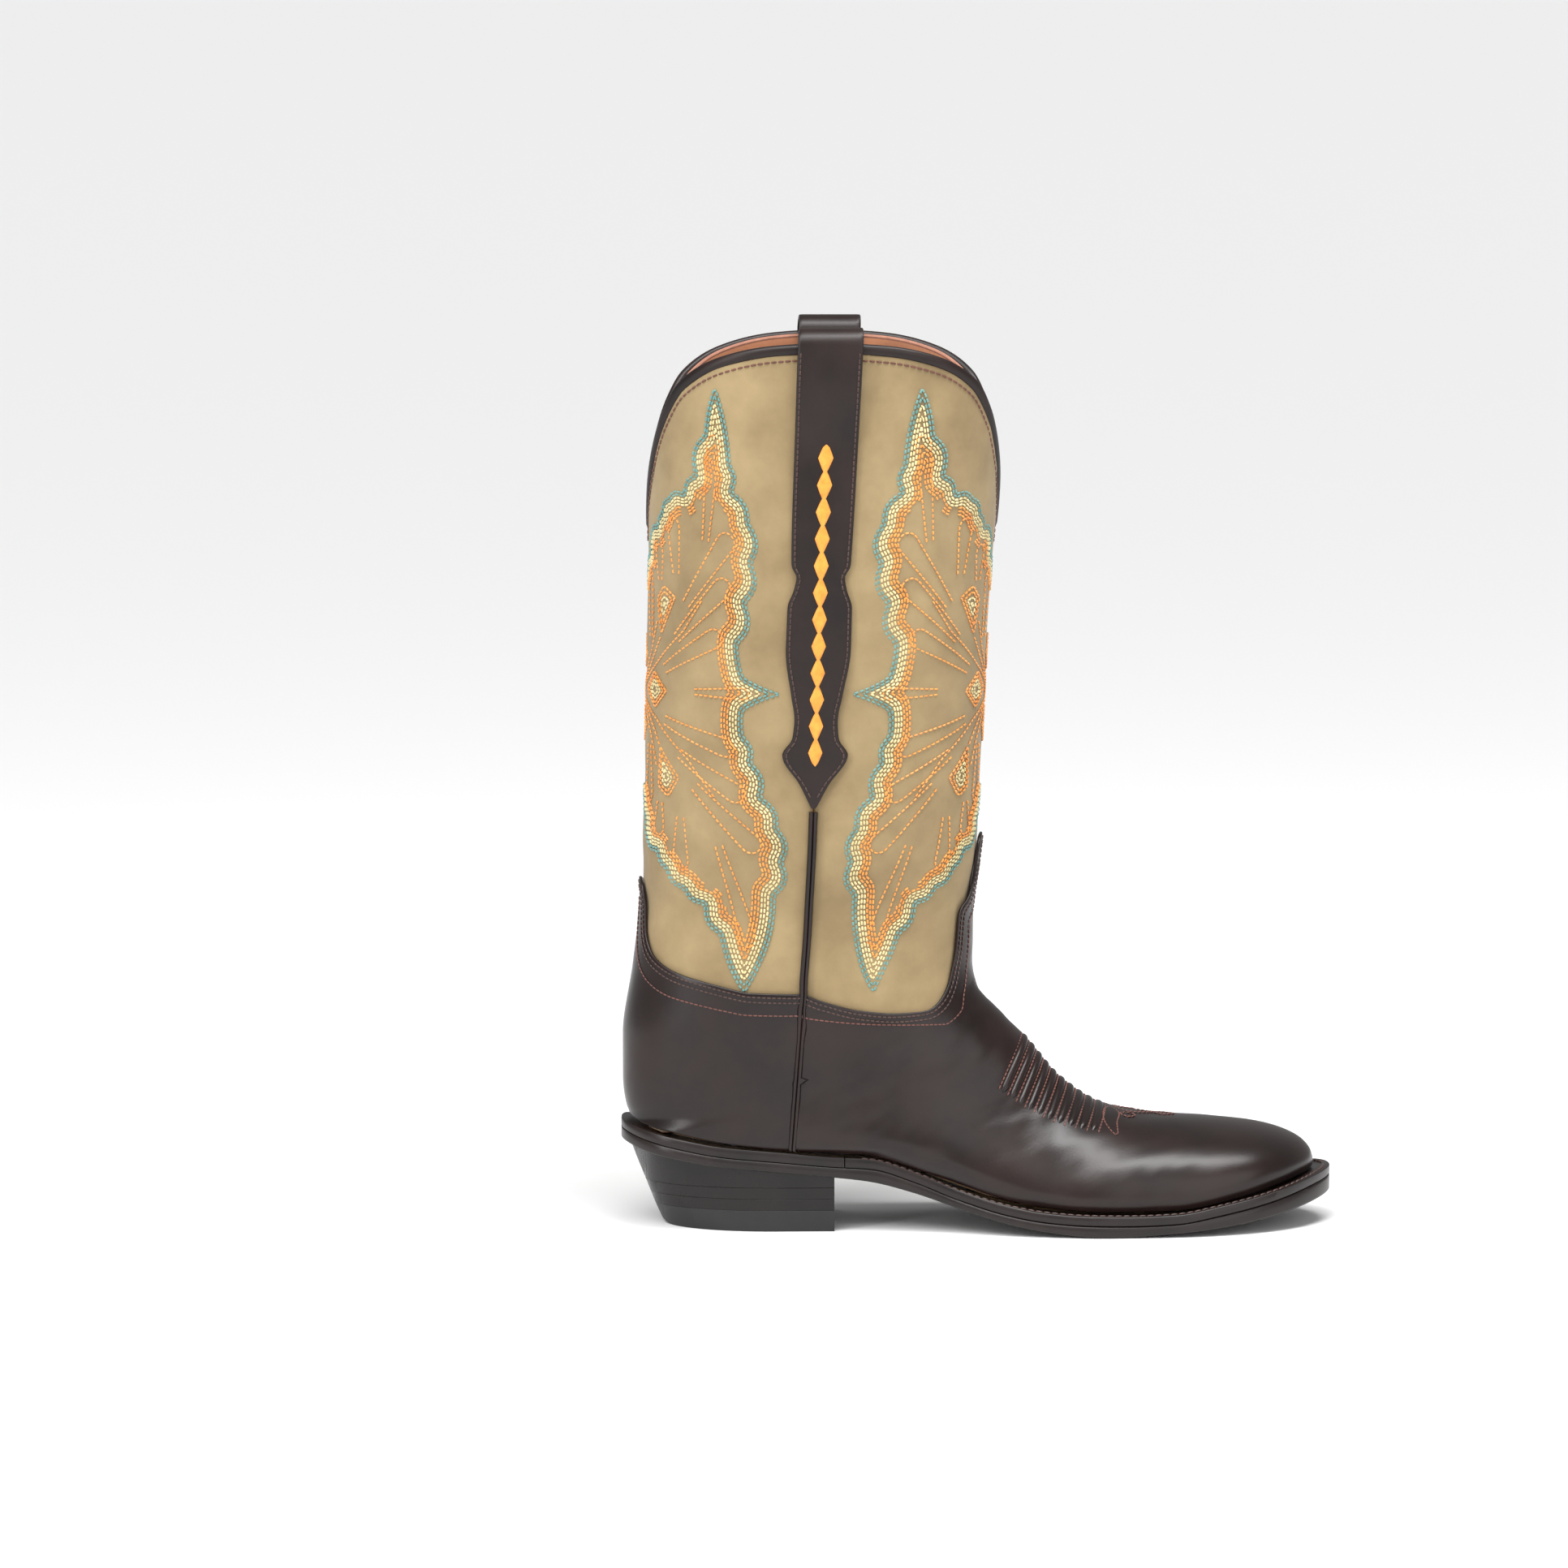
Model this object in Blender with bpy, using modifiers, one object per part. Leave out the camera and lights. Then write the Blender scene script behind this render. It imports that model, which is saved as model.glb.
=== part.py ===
"""Cowboy boot, right foot.

The toe points along +X, the outer (lateral) side faces -Y and the leg stands along +Z. The origin is on the
ground under the middle of the boot. Lengths below are in millimetres; meshes are made in metres.

The upper is one smooth surface, addressed by a station t, which runs from above the rim (0) down the leg,
across the ankle and along the foot to the toe tip, and by a girth position s: 0 is the front or top centre
line, 1 the back centre line or the feather line where the upper meets the sole. Negative s is the lateral
side. Every layer of leather is a shell at its own distance from that surface.
"""
import functools
import math

import bmesh
import bpy
import numpy as np

MM = 0.001
GAP = 0.3
LAYER_GAP = 0.8

# Leather layers, measured outward from the leg's outer surface
SHAFT_THICKNESS = 1.4
LINING_THICKNESS = 1.0
COVER_THICKNESS = 1.2
SHAFT_OUT = 0.0
LINING_OUT = -SHAFT_THICKNESS - LAYER_GAP
COVER_OUT = LAYER_GAP + COVER_THICKNESS
STIFFENER_OUT = -1.0
STIFFENER_THICKNESS = 0.7

# Each station is one girth line of the upper: front point, end point, half-width at the end point, widest
# half-width, where along the line it is widest, and how square it is before and behind (1 is an ellipse)
STATIONS = (
    # front x, front z, end x, end z, end half, half, widest at, front roundness, back roundness
    (14.0, 355.0, -124.0, 355.0, 0.0, 51.5, 0.50, 0.80, 0.8),
    (9.8, 300.0, -124.4, 300.0, 0.0, 50.7, 0.50, 0.82, 0.82),
    (5.2, 252.0, -124.0, 252.0, 0.0, 49.0, 0.50, 0.85, 0.85),
    (2.5, 200.0, -125.0, 200.0, 0.0, 45.6, 0.50, 0.90, 0.9),
    (0.2, 150.0, -126.2, 150.0, 0.0, 41.6, 0.50, 0.95, 0.95),
    (-1.2, 120.0, -127.9, 120.0, 0.0, 38.0, 0.50, 1.0, 0.95),
    (-1.5, 102.0, -130.5, 98.0, 0.0, 36.0, 0.50, 1.0, 0.9),
    (0.5, 90.5, -134.2, 73.0, 0.0, 34.5, 0.49, 1.0, 0.84),
    (7.0, 82.5, -134.2, 56.0, 0.0, 33.6, 0.48, 1.0, 0.8),
    (12.5, 76.5, -132.2, 43.6, 0.0, 33.2, 0.48, 1.0, 0.78),
    (18.5, 70.5, -127.5, 40.6, 15.8, 33.0, 0.50, 1.0, 0.8),
    (24.0, 63.8, -115.0, 37.8, 25.8, 32.8, 0.54, 1.0, 0.85),
    (29.2, 57.5, -95.0, 34.0, 29.0, 32.8, 0.60, 1.0, 0.92),
    (34.5, 52.8, -70.0, 31.2, 28.8, 33.2, 0.68, 1.0, 1.0),
    (40.5, 48.4, -45.0, 29.8, 28.0, 33.8, 0.74, 1.0, 1.0),
    (48.0, 44.6, -15.0, 21.6, 30.0, 35.5, 0.80, 1.0, 1.0),
    (59.0, 42.1, 16.0, 12.4, 36.0, 38.6, 0.82, 1.0, 1.0),
    (74.0, 40.5, 50.0, 9.3, 39.4, 41.0, 0.84, 1.0, 1.0),
    (90.0, 39.1, 76.0, 9.8, 39.0, 40.5, 0.84, 1.0, 1.0),
    (106.0, 37.1, 98.0, 13.4, 34.6, 36.2, 0.82, 1.0, 1.0),
    (117.0, 34.2, 113.0, 17.1, 26.5, 28.0, 0.80, 1.0, 1.0),
    (124.2, 30.4, 122.3, 19.4, 16.8, 17.8, 0.78, 1.0, 1.0),
    (127.4, 26.6, 126.8, 20.6, 8.4, 9.0, 0.75, 1.0, 1.0),
    (128.4, 23.4, 128.3, 21.4, 0.0, 0.001, 0.70, 1.0, 1.0),
)
LAST = len(STATIONS) - 1
# The station of the heel's bottom corner, from which the end points run along the feather line
HEEL_CORNER = 9
COVER_STARTS = (4.0, 5.0)

# The foot swings towards the inner side from the ball to the toe
SWING = 6.0
SWING_FROM = 10.0
SWING_TO = 135.0

# Rim of the leg: angle from the front or back centre, height. The V dips are at 0 degrees
RIM = ((0, 268), (8, 282), (18, 296.5), (30, 312), (40, 321.5), (57, 330), (75, 334.5), (90, 336))

# Side seam
SEAM_TOP = 0.5
SEAM_JOIN = (-65.5, 91.5)
SEAM_FOOT = -70.0
SEAM_FOOT_HEIGHT = 31.2
SIDE_WELT_WIDTH = 3.2
# Share of the way to the side seam that each leg panel covers, which leaves a gap between front and back
SEAM_SHARE = 0.998

# Upper edge of the vamp with its tongue: arc length from the front centre line, height
TONGUE = ((0.0, 149.0), (4.5, 147.8), (6.9, 144.0), (7.2, 135.0), (9.5, 126.5), (16.6, 120.0), (17.4, 107.0),
          (20.5, 96.0), (27.0, 88.0), (36.0, 84.0), (47.0, 83.6), (60.0, 85.0), (74.0, 89.0))
# Upper edge of the heel counter: arc length from the back centre line, height
COUNTER = ((0.0, 132.0), (6.0, 130.5), (10.0, 124.0), (12.5, 114.0), (18.0, 106.0), (30.0, 99.5), (48.0, 95.0),
           (62.0, 92.0))
# Feet of the leg panels, hidden under vamp and counter: at the front centre, the side seam, the back centre
FRONT_PANEL_BOTTOM = 77.0
LEG_SEAM_BOTTOM = 80.0
COUNTER_UNDER = 112.0
TOE_BOX_STARTS = 17.6
HEEL_COLUMNS = 11

# Soles: top and bottom surfaces along the boot
SOLE_TOP = ((-138, 41.6), (-126, 38.1), (-115, 35.8), (-96, 32.6), (-72, 30.4), (-54, 28.8), (-40, 28.0),
            (-24, 23.3), (-8, 17.1), (10, 12.0), (26, 9.4), (42, 8.4), (58, 8.2), (74, 8.7), (90, 11.3),
            (112, 15.7), (128, 19.9), (140, 22.5))
SOLE_BOTTOM = ((-138, 34.0), (-126, 30.1), (-115, 27.8), (-96, 24.8), (-72, 22.6), (-54, 20.9), (-40, 19.2),
               (-24, 15.2), (-8, 10.0), (10, 4.9), (26, 1.9), (48, 0.0), (69, 1.0), (90, 2.9), (112, 6.3),
               (128, 9.9), (140, 13.2))
LEDGE = ((-138, 3.0), (-128, 2.4), (-110, 1.4), (-70, 1.0), (-30, 1.0), (0, 2.0), (25, 3.6), (60, 4.3),
         (100, 5.0), (122, 6.0), (130, 6.6))
WELT_THICKNESS = 3.6
WELT_INSIDE = 6.0
WELT_FROM = -50.0

# Heel
BREAST_X = -54.0
HEEL_ROUND_FROM = -78.0
HEEL_BACK = ((0, -118.6), (7, -121.8), (17, -125.8), (28, -130.2), (42, -135.0))
HEEL_HALF = ((0, 26.0), (18, 27.4), (30, 29.2), (42, 31.0))
HEEL_LEVELS = (8.0, 12.4, 16.8)
NAILS = ((-68, -15), (-68, 15), (-92, -17), (-92, 17), (-108, 0))
NAIL_RADIUS = 1.1
PEG_XS = (-47, -39, -31, -23)
PEG_INSET = 3.0
PEG_RADIUS = 0.9
HOLE_CLEARANCE = 0.3

# Things inside
INSOLE_THICKNESS = 2.6
INSOLE_INSET = 8.0
SOCK_THICKNESS = 1.0
SOCK_INSET = 8.8
PAD_THICKNESS = 2.4
PAD_INSET = 10.0
PAD_FRONT = -40.0
SHANK_SIZE = (-98.0, -8.0, 14.0, 1.6)
FILLER_STARTS = -2.0

# Pull straps: height, half-width of the outer leg below the rim
STRAP_HALF = ((163.0, 0.8), (172.0, 5.8), (183.0, 13.9), (189.0, 9.6), (196.0, 8.9), (205.0, 10.8),
              (223.0, 14.5), (238.0, 14.6), (245.0, 11.6), (249.5, 10.5), (254.0, 13.4), (290.0, 14.6),
              (345.0, 15.2))
STRAP_THICKNESS = 1.5
STRAP_STAND_OFF = 4.8
STRAP_TOP = 342.0
STRAP_INSIDE_BOTTOM = 296.0
STRAP_LIES_BELOW = 292.0
DIAMONDS = 12
DIAMOND_RANGE = (179.0, 299.0)
DIAMOND_HALF = 2.6
DIAMOND_NECK = 0.5
THREAD_THICKNESS = 0.8

COLOURS = {
    "tan_nubuck": ((0.33, 0.24, 0.13), 0.85, 0.0),
    "dark_leather": ((0.035, 0.018, 0.016), 0.38, 0.0),
    "cognac_leather": ((0.42, 0.17, 0.07), 0.6, 0.0),
    "sole_leather": ((0.10, 0.045, 0.03), 0.5, 0.0),
    "heel_leather": ((0.03, 0.018, 0.015), 0.4, 0.0),
    "heel_rubber": ((0.02, 0.02, 0.02), 0.7, 0.0),
    "insole_leather": ((0.50, 0.33, 0.20), 0.8, 0.0),
    "spring_steel": ((0.45, 0.46, 0.48), 0.35, 1.0),
    "cork": ((0.42, 0.27, 0.15), 0.95, 0.0),
    "stiffener_board": ((0.45, 0.36, 0.26), 0.9, 0.0),
    "sock_foam": ((0.60, 0.56, 0.48), 0.95, 0.0),
    "peg_wood": ((0.62, 0.45, 0.25), 0.7, 0.0),
    "orange_thread": ((0.85, 0.36, 0.06), 0.45, 0.0),
}


def clear_scene():
    for old in list(bpy.data.objects):
        bpy.data.objects.remove(old, do_unlink=True)


def new_collection(name):
    made = bpy.data.collections.new(name)
    bpy.context.scene.collection.children.link(made)
    return made


def material(name):
    """One Principled material for each kind of leather, metal or thread."""
    colour, roughness, metallic = COLOURS[name]
    made = bpy.data.materials.get(name) or bpy.data.materials.new(name)
    made.use_nodes = True
    shader = made.node_tree.nodes["Principled BSDF"]
    shader.inputs["Base Color"].default_value = (*colour, 1.0)
    shader.inputs["Roughness"].default_value = roughness
    shader.inputs["Metallic"].default_value = metallic
    return made


@functools.lru_cache(maxsize=None)
def tangents(xs, ys):
    """Slopes at the points (xs, ys) with which a smooth curve never overshoots them."""
    slope = np.diff(ys) / np.diff(xs)
    product = slope[:-1] * slope[1:]
    total = slope[:-1] + slope[1:]
    inner = np.where(product > 0, 2 * product / np.where(total == 0, 1, total), 0)
    return np.concatenate([slope[:1], inner, slope[-1:]])


def hermite(xs, ys, x):
    """Smooth curve through the points (xs, ys), tuples of numbers, read at x."""
    tangent = tangents(xs, ys)
    xs, ys = np.array(xs, float), np.array(ys, float)
    x = np.clip(np.asarray(x, float), xs[0], xs[-1])
    i = np.clip(np.searchsorted(xs, x, side="right") - 1, 0, len(xs) - 2)
    step = xs[i + 1] - xs[i]
    u = (x - xs[i]) / step
    rise = (2 * u**3 - 3 * u**2 + 1) * ys[i] + (3 * u**2 - 2 * u**3) * ys[i + 1]
    lean = (u**3 - 2 * u**2 + u) * tangent[i] + (u**3 - u**2) * tangent[i + 1]
    return rise + lean * step


def table(points, x):
    """A smooth curve through a list of pairs, read at x."""
    xs, ys = zip(*points)
    return hermite(xs, ys, x)


def ramp(x, lo, hi):
    u = np.clip((np.asarray(x, float) - lo) / (hi - lo), 0, 1)
    return u * u * (3 - 2 * u)


def swing(x):
    return SWING * ramp(x, SWING_FROM, SWING_TO)


def station_columns():
    """The columns of the station table. Half-widths are squared, so that heel and toe close roundly."""
    columns = [tuple(column) for column in zip(*STATIONS)]
    columns[4] = tuple(half**2 for half in columns[4][HEEL_CORNER:])
    columns[5] = tuple(half**2 for half in columns[5])
    return columns


COLUMNS = station_columns()


def girth_point(t, s):
    """Point of the visible outer surface at station t and girth position s, as an array of x, y, z."""
    t = np.clip(np.asarray(t, float), 0, LAST)
    s = np.asarray(s, float)
    fx, fz, ex, ez, end_squared, half_squared, widest, front_round, back_round = (
        hermite(tuple(range(LAST + 1 - len(column), LAST + 1)), column, t) for column in COLUMNS
    )
    end_half = np.sqrt(end_squared)
    half = np.sqrt(half_squared)
    end_angle = math.pi - np.arcsin(np.clip(end_half / half, 0, 1) ** (1 / back_round))
    angle = np.abs(s) * end_angle
    cx = fx + (ex - fx) * widest
    cz = fz + (ez - fz) * widest
    cosine = np.cos(angle)
    forward = np.clip(cosine, 0, None) ** front_round
    back = np.clip(-cosine / -np.cos(end_angle), 0, None) ** back_round
    x = cx + (fx - cx) * forward + (ex - cx) * back
    z = cz + (fz - cz) * forward + (ez - cz) * back
    y = np.sign(s) * half * np.abs(np.sin(angle)) ** np.where(cosine > 0, front_round, back_round)
    return np.stack([x, y + swing(x), z], axis=-1)


def upper(t, s, offset=0.0):
    """Point at a distance outside the leg's outer surface. The vamp and counter lie flush with the outline."""
    t = np.minimum(np.asarray(t, float), LAST - 0.004)
    s = np.where(np.abs(s) < 1e-6, 1e-6, s)
    e = 0.002
    inner = np.where(np.abs(s) > 1 - e, np.sign(s) * (1 - e), s)
    along = girth_point(t + e, s) - girth_point(t - e, s)
    around = girth_point(t, inner + e) - girth_point(t, inner - e)
    normal = np.cross(along, around)
    normal /= np.linalg.norm(normal, axis=-1, keepdims=True)
    shift = offset - COVER_OUT * ramp(t, *COVER_STARTS)
    return girth_point(t, s) + normal * np.asarray(shift)[..., None]


def solve(measure, lo, hi, steps=50):
    """The value between lo and hi where measure, which grows from lo to hi, is 0."""
    for _ in range(steps):
        middle = (lo + hi) / 2
        if measure(middle) < 0:
            lo = middle
        else:
            hi = middle
    return (lo + hi) / 2


@functools.lru_cache(maxsize=None)
def station_at(s, z):
    """The station at which the girth position s is at height z, on the leg or the ankle."""
    return solve(lambda t: z - girth_point(t, s)[2], 0.0, HEEL_CORNER + 5)


def place(arc, z, back=False):
    """(t, s) of the point at an arc length from the front (or back) centre line, at height z."""
    s = 0.0
    for _ in range(30):
        at = 1 - s if back else s
        t = station_at(at, z)
        line = 1 - np.linspace(0, s, 40) if back else np.linspace(0, s, 40)
        points = girth_point(np.full(40, t), line)
        length = np.linalg.norm(np.diff(points, axis=0), axis=1).sum()
        half_girth = 190.0
        s = float(np.clip(s + (arc - length) / half_girth, 0, 0.99))
        if abs(arc - length) < 0.02:
            break
    at = 1 - s if back else s
    return station_at(at, z), at


def rim_height(s):
    """Height of the leg's edge at girth position s."""
    degrees = 180 * np.abs(s)
    return table(RIM, np.minimum(degrees, 180 - degrees))


def seam_girth_at(t):
    """Girth position of the side seam at a station, from the seam's straight line as seen from the side."""

    def behind(s):
        x, _, z = girth_point(t, s)
        top_x, top_z = SEAM_JOIN
        return top_x + (SEAM_FOOT - top_x) * (top_z - z) / (top_z - SEAM_FOOT_HEIGHT) - x

    return solve(behind, 0.3, 1.0, 40)


@functools.lru_cache
def seam_join():
    """(t, s) where the side seam meets the vamp and the counter."""
    t = solve(lambda g: SEAM_JOIN[1] - girth_point(g, seam_girth_at(g))[2], 3.0, HEEL_CORNER, 40)
    return t, seam_girth_at(t)


@functools.lru_cache
def seam_foot():
    """Station at which the side seam meets the feather line."""
    return solve(lambda t: girth_point(t, 1.0)[0] - SEAM_FOOT, HEEL_CORNER, LAST)


def seam_line(v):
    """(t, s) down the lower side seam, v from 0 at the vamp's top edge to 1 at the feather line."""
    top = seam_join()[0]
    t = top + (seam_foot() - top) * v
    return t, 1.0 if v == 1 else seam_girth_at(t)


def seam_girth(t):
    """Girth position of the side seam on the leg."""
    t0, s0 = seam_join()
    return SEAM_TOP + (s0 - SEAM_TOP) * ramp(t, 1.0, t0)


def grid_faces(rows, columns, closed=False):
    """Quads of a grid of rows x columns vertices; closed joins the last column to the first."""
    last = columns if closed else columns - 1
    faces = []
    for r in range(rows - 1):
        for c in range(last):
            n = (c + 1) % columns
            faces.append((r * columns + c, (r + 1) * columns + c, (r + 1) * columns + n, r * columns + n))
    return faces


def resample(path, count):
    """The same path of (t, s) values with evenly spaced points, as measured on the surface."""
    path = np.asarray(path, float)
    where = girth_point(path[:, 0], path[:, 1])
    length = np.concatenate([[0], np.cumsum(np.linalg.norm(np.diff(where, axis=0), axis=1))])
    at = np.linspace(0, length[-1], count)
    return np.stack([np.interp(at, length, path[:, i]) for i in (0, 1)], axis=1)


def shifted(path, distance):
    """The path of (t, s) points moved sideways on the surface, to the right of its direction seen from outside."""
    path = np.asarray(path, float)
    e = 0.01
    points = girth_point(path[:, 0], path[:, 1])
    direction = np.gradient(points, axis=0)
    moved = path.copy()
    for i, (t, s) in enumerate(path):
        t_safe = min(max(t, e), LAST - e)
        s_safe = min(max(s, -1 + e), 1 - e)
        along = (girth_point(t_safe + e, s_safe) - girth_point(t_safe - e, s_safe)) / (2 * e)
        around = (girth_point(t_safe, s_safe + e) - girth_point(t_safe, s_safe - e)) / (2 * e)
        normal = np.cross(along, around)
        aside = np.cross(direction[i], normal)
        aside *= distance / np.linalg.norm(aside)
        change = np.linalg.lstsq(np.stack([along, around], axis=1), aside, rcond=None)[0]
        moved[i] += change
    moved[:, 1] = np.clip(moved[:, 1], -1, 1)
    return moved


def mirrored(path):
    """The same path on the other side of the boot."""
    return np.asarray(path) * (1, -1)


def shell(name, grid, outside, thickness, finish, where):
    """A sheet of leather: the surface at the grid's (t, s) values, thickened inward from outside."""
    grid = np.asarray(grid, float)
    rows, columns = grid.shape[:2]
    points = upper(grid[..., 0], grid[..., 1], outside)
    tip = grid[..., 0] > LAST - 0.01
    if tip.any():
        points[tip] = points[tip].mean(axis=0)
    r, c = rows // 2 - 1, columns // 2 - 1
    out = upper(*grid[r, c], outside + 1) - upper(*grid[r, c], outside)
    across = np.cross(points[r + 1, c] - points[r, c], points[r, c + 1] - points[r, c])
    faces = grid_faces(rows, columns)
    if across @ out < 0:
        faces = [face[::-1] for face in faces]
    mesh = bpy.data.meshes.new(name)
    mesh.from_pydata([tuple(v) for v in points.reshape(-1, 3) * MM], [], faces)
    sheet = bmesh.new()
    sheet.from_mesh(mesh)
    bmesh.ops.remove_doubles(sheet, verts=sheet.verts, dist=0.00005)
    sheet.to_mesh(mesh)
    sheet.free()
    return finish_object(name, mesh, finish, where, thickness)


def finish_object(name, mesh, finish, where, thickness=0.0):
    """Puts a mesh in the scene with its material, as a sheet with a thickness or as a solid."""
    mesh.materials.append(material(finish))
    mesh.shade_smooth()
    mesh.set_sharp_from_angle(angle=math.radians(40))
    made = bpy.data.objects.new(name, mesh)
    where.objects.link(made)
    if thickness:
        solid = made.modifiers.new("thickness", "SOLIDIFY")
        solid.thickness = thickness * MM
        solid.offset = -1
    return made


def loft(name, sections, finish, where):
    """A closed solid through rings of points, all with the same number of points, capped at both ends."""
    sections = np.asarray(sections, float)
    rows, columns = sections.shape[:2]
    faces = grid_faces(rows, columns, closed=True)
    faces.append(tuple(range(columns)))
    faces.append(tuple(range((rows - 1) * columns, rows * columns)))
    mesh = bpy.data.meshes.new(name)
    mesh.from_pydata([tuple(v) for v in sections.reshape(-1, 3) * MM], [], faces)
    solid = bmesh.new()
    solid.from_mesh(mesh)
    bmesh.ops.recalc_face_normals(solid, faces=solid.faces)
    solid.to_mesh(mesh)
    solid.free()
    return finish_object(name, mesh, finish, where)


def between(start, end, count, crowding=1.0):
    """Grid of (t, s) values that runs straight from each point of one path to its partner on another.

    Crowding over 1 brings the rows closer together towards the end."""
    v = 1 - (1 - np.linspace(0, 1, count)[:, None, None]) ** crowding
    return np.asarray(start) * (1 - v) + np.asarray(end) * v


# ---------------------------------------------------------------------------------------------- leg


def edge_height(s, drop):
    """Height at girth position s of a line that runs a distance below the rim, measured across it."""
    e = 0.004
    length = 380.0 * e
    slope = (rim_height(s + e) - rim_height(s - e)) / length
    return rim_height(s) - drop * math.sqrt(1 + slope**2)


def rim_station(s, drop):
    return station_at(s, edge_height(max(abs(s), 0.006), drop))


def leg_girth(c, t, back):
    """Girth position of column c (-1 to 1, seam to seam) of the front or back of the leg."""
    seam = seam_girth(t)
    if back:
        return (1 if c >= 0 else -1) * (1 - abs(c) * (1 - seam))
    return c * seam


def leg_panel(name, back, bottom_centre, bottom_seam, outside, thickness, finish, where, columns=16, rows=9):
    """Half of the leg, from seam to seam: below the rim at its top, hidden under vamp or counter at its foot."""
    rim_gap = 2.4
    grid = np.zeros((rows, columns + 1, 2))
    for i, c in enumerate(np.linspace(-SEAM_SHARE, SEAM_SHARE, columns + 1)):
        c = c if abs(c) > 1e-9 else 0.0
        top = rim_station(abs(leg_girth(c, 0.0, back)), rim_gap)
        low = bottom_centre + (bottom_seam - bottom_centre) * abs(c)
        bottom = station_at(leg_girth(c, 7.0, back), low)
        for r, v in enumerate(np.linspace(0, 1, rows)):
            t = top + (bottom - top) * v
            grid[r, i] = t, leg_girth(c, t, back)
    return shell(name, grid, outside, thickness, finish, where)


def add_leg(where):
    for name, back, centre in (("front", False, FRONT_PANEL_BOTTOM), ("back", True, COUNTER_UNDER)):
        leg_panel(f"shaft_{name}_panel", back, centre, LEG_SEAM_BOTTOM, SHAFT_OUT, SHAFT_THICKNESS,
                  "tan_nubuck", where)
        leg_panel(f"lining_{name}", back, centre, LEG_SEAM_BOTTOM, LINING_OUT, LINING_THICKNESS,
                  "cognac_leather", where)


def add_top_piping(side, label, where):
    """The binding on the rim of one side, from the front V to the back V, over both layers."""
    centre_gap = 0.0022
    height = 1.6
    overhang = 0.6
    depth = overhang - LINING_OUT + LINING_THICKNESS + 0.2
    grid = []
    column = SEAM_TOP * SEAM_SHARE / 8
    front = [centre_gap] + [column * k for k in range(1, 9)]
    for s in front + [1 - s for s in front[-2::-1]]:
        grid.append([(rim_station(s, drop), side * s) for drop in (0.0, height)])
    shell(f"top_piping_{label}", grid, overhang, depth, "dark_leather", where)


# ------------------------------------------------------------------------------------- foot leathers


def tongue_path():
    """(t, s) points of the vamp's upper edge, from the tip of the tongue to the side seam."""
    path = [place(arc, z) for arc, z in TONGUE]
    path[0] = (path[0][0], 0.0)
    return np.array(path)


def counter_path():
    """(t, s) points of the counter's upper edge, from the back centre to the side seam."""
    path = [place(arc, z, back=True) for arc, z in COUNTER]
    path[0] = (path[0][0], 1.0)
    return np.array(path)


def lower_seam(distance, count):
    """(t, s) points down the side seam below the vamp's edge, moved to the front by a distance."""
    path = np.array([seam_line(v) for v in np.linspace(0, 1, count)])
    moved = shifted(path, distance)
    moved[-1, 1] = 1.0
    return moved


def forward_grid(back_edge, rows):
    """Grid from a path (front centre, up to the seam, down to the feather line) forward to the toe tip."""
    length = np.linalg.norm(np.diff(girth_point(back_edge[:, 0], back_edge[:, 1]), axis=0), axis=1)
    share = np.concatenate([[0], np.cumsum(length)]) / length.sum()
    toe = np.stack([np.full(len(share), float(LAST)), share], axis=1)
    half = between(back_edge, toe, rows, 1.25)
    return np.concatenate([mirrored(half[:, :0:-1]), half], axis=1)


def heel_grid(top_edge, seam, rows):
    """Grid from a path (back centre to the seam) down to the feather line round the heel."""
    top = resample(np.concatenate([top_edge[:-1], seam[:1]]), HEEL_COLUMNS)
    count = len(top)
    share = np.linspace(0, 1, count)
    foot = np.stack([HEEL_CORNER + (seam[-1, 0] - HEEL_CORNER) * share**1.3, np.ones(count)], axis=1)
    half = between(top, foot, rows)
    at = np.linspace(0, len(seam) - 1, rows)
    half[:, -1] = [[np.interp(a, range(len(seam)), seam[:, i]) for i in (0, 1)] for a in at]
    return np.concatenate([mirrored(half[:, :0:-1]), half], axis=1)


def level_path(height_centre, height_seam, count, back):
    """(t, s) points across the leg at the foot of its panels, from the centre line to the seam."""
    path = []
    for c in np.linspace(0, 1, count):
        s = leg_girth(c, 8.0, back)
        path.append((station_at(s, height_centre + (height_seam - height_centre) * c), s))
    return np.array(path)


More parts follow.
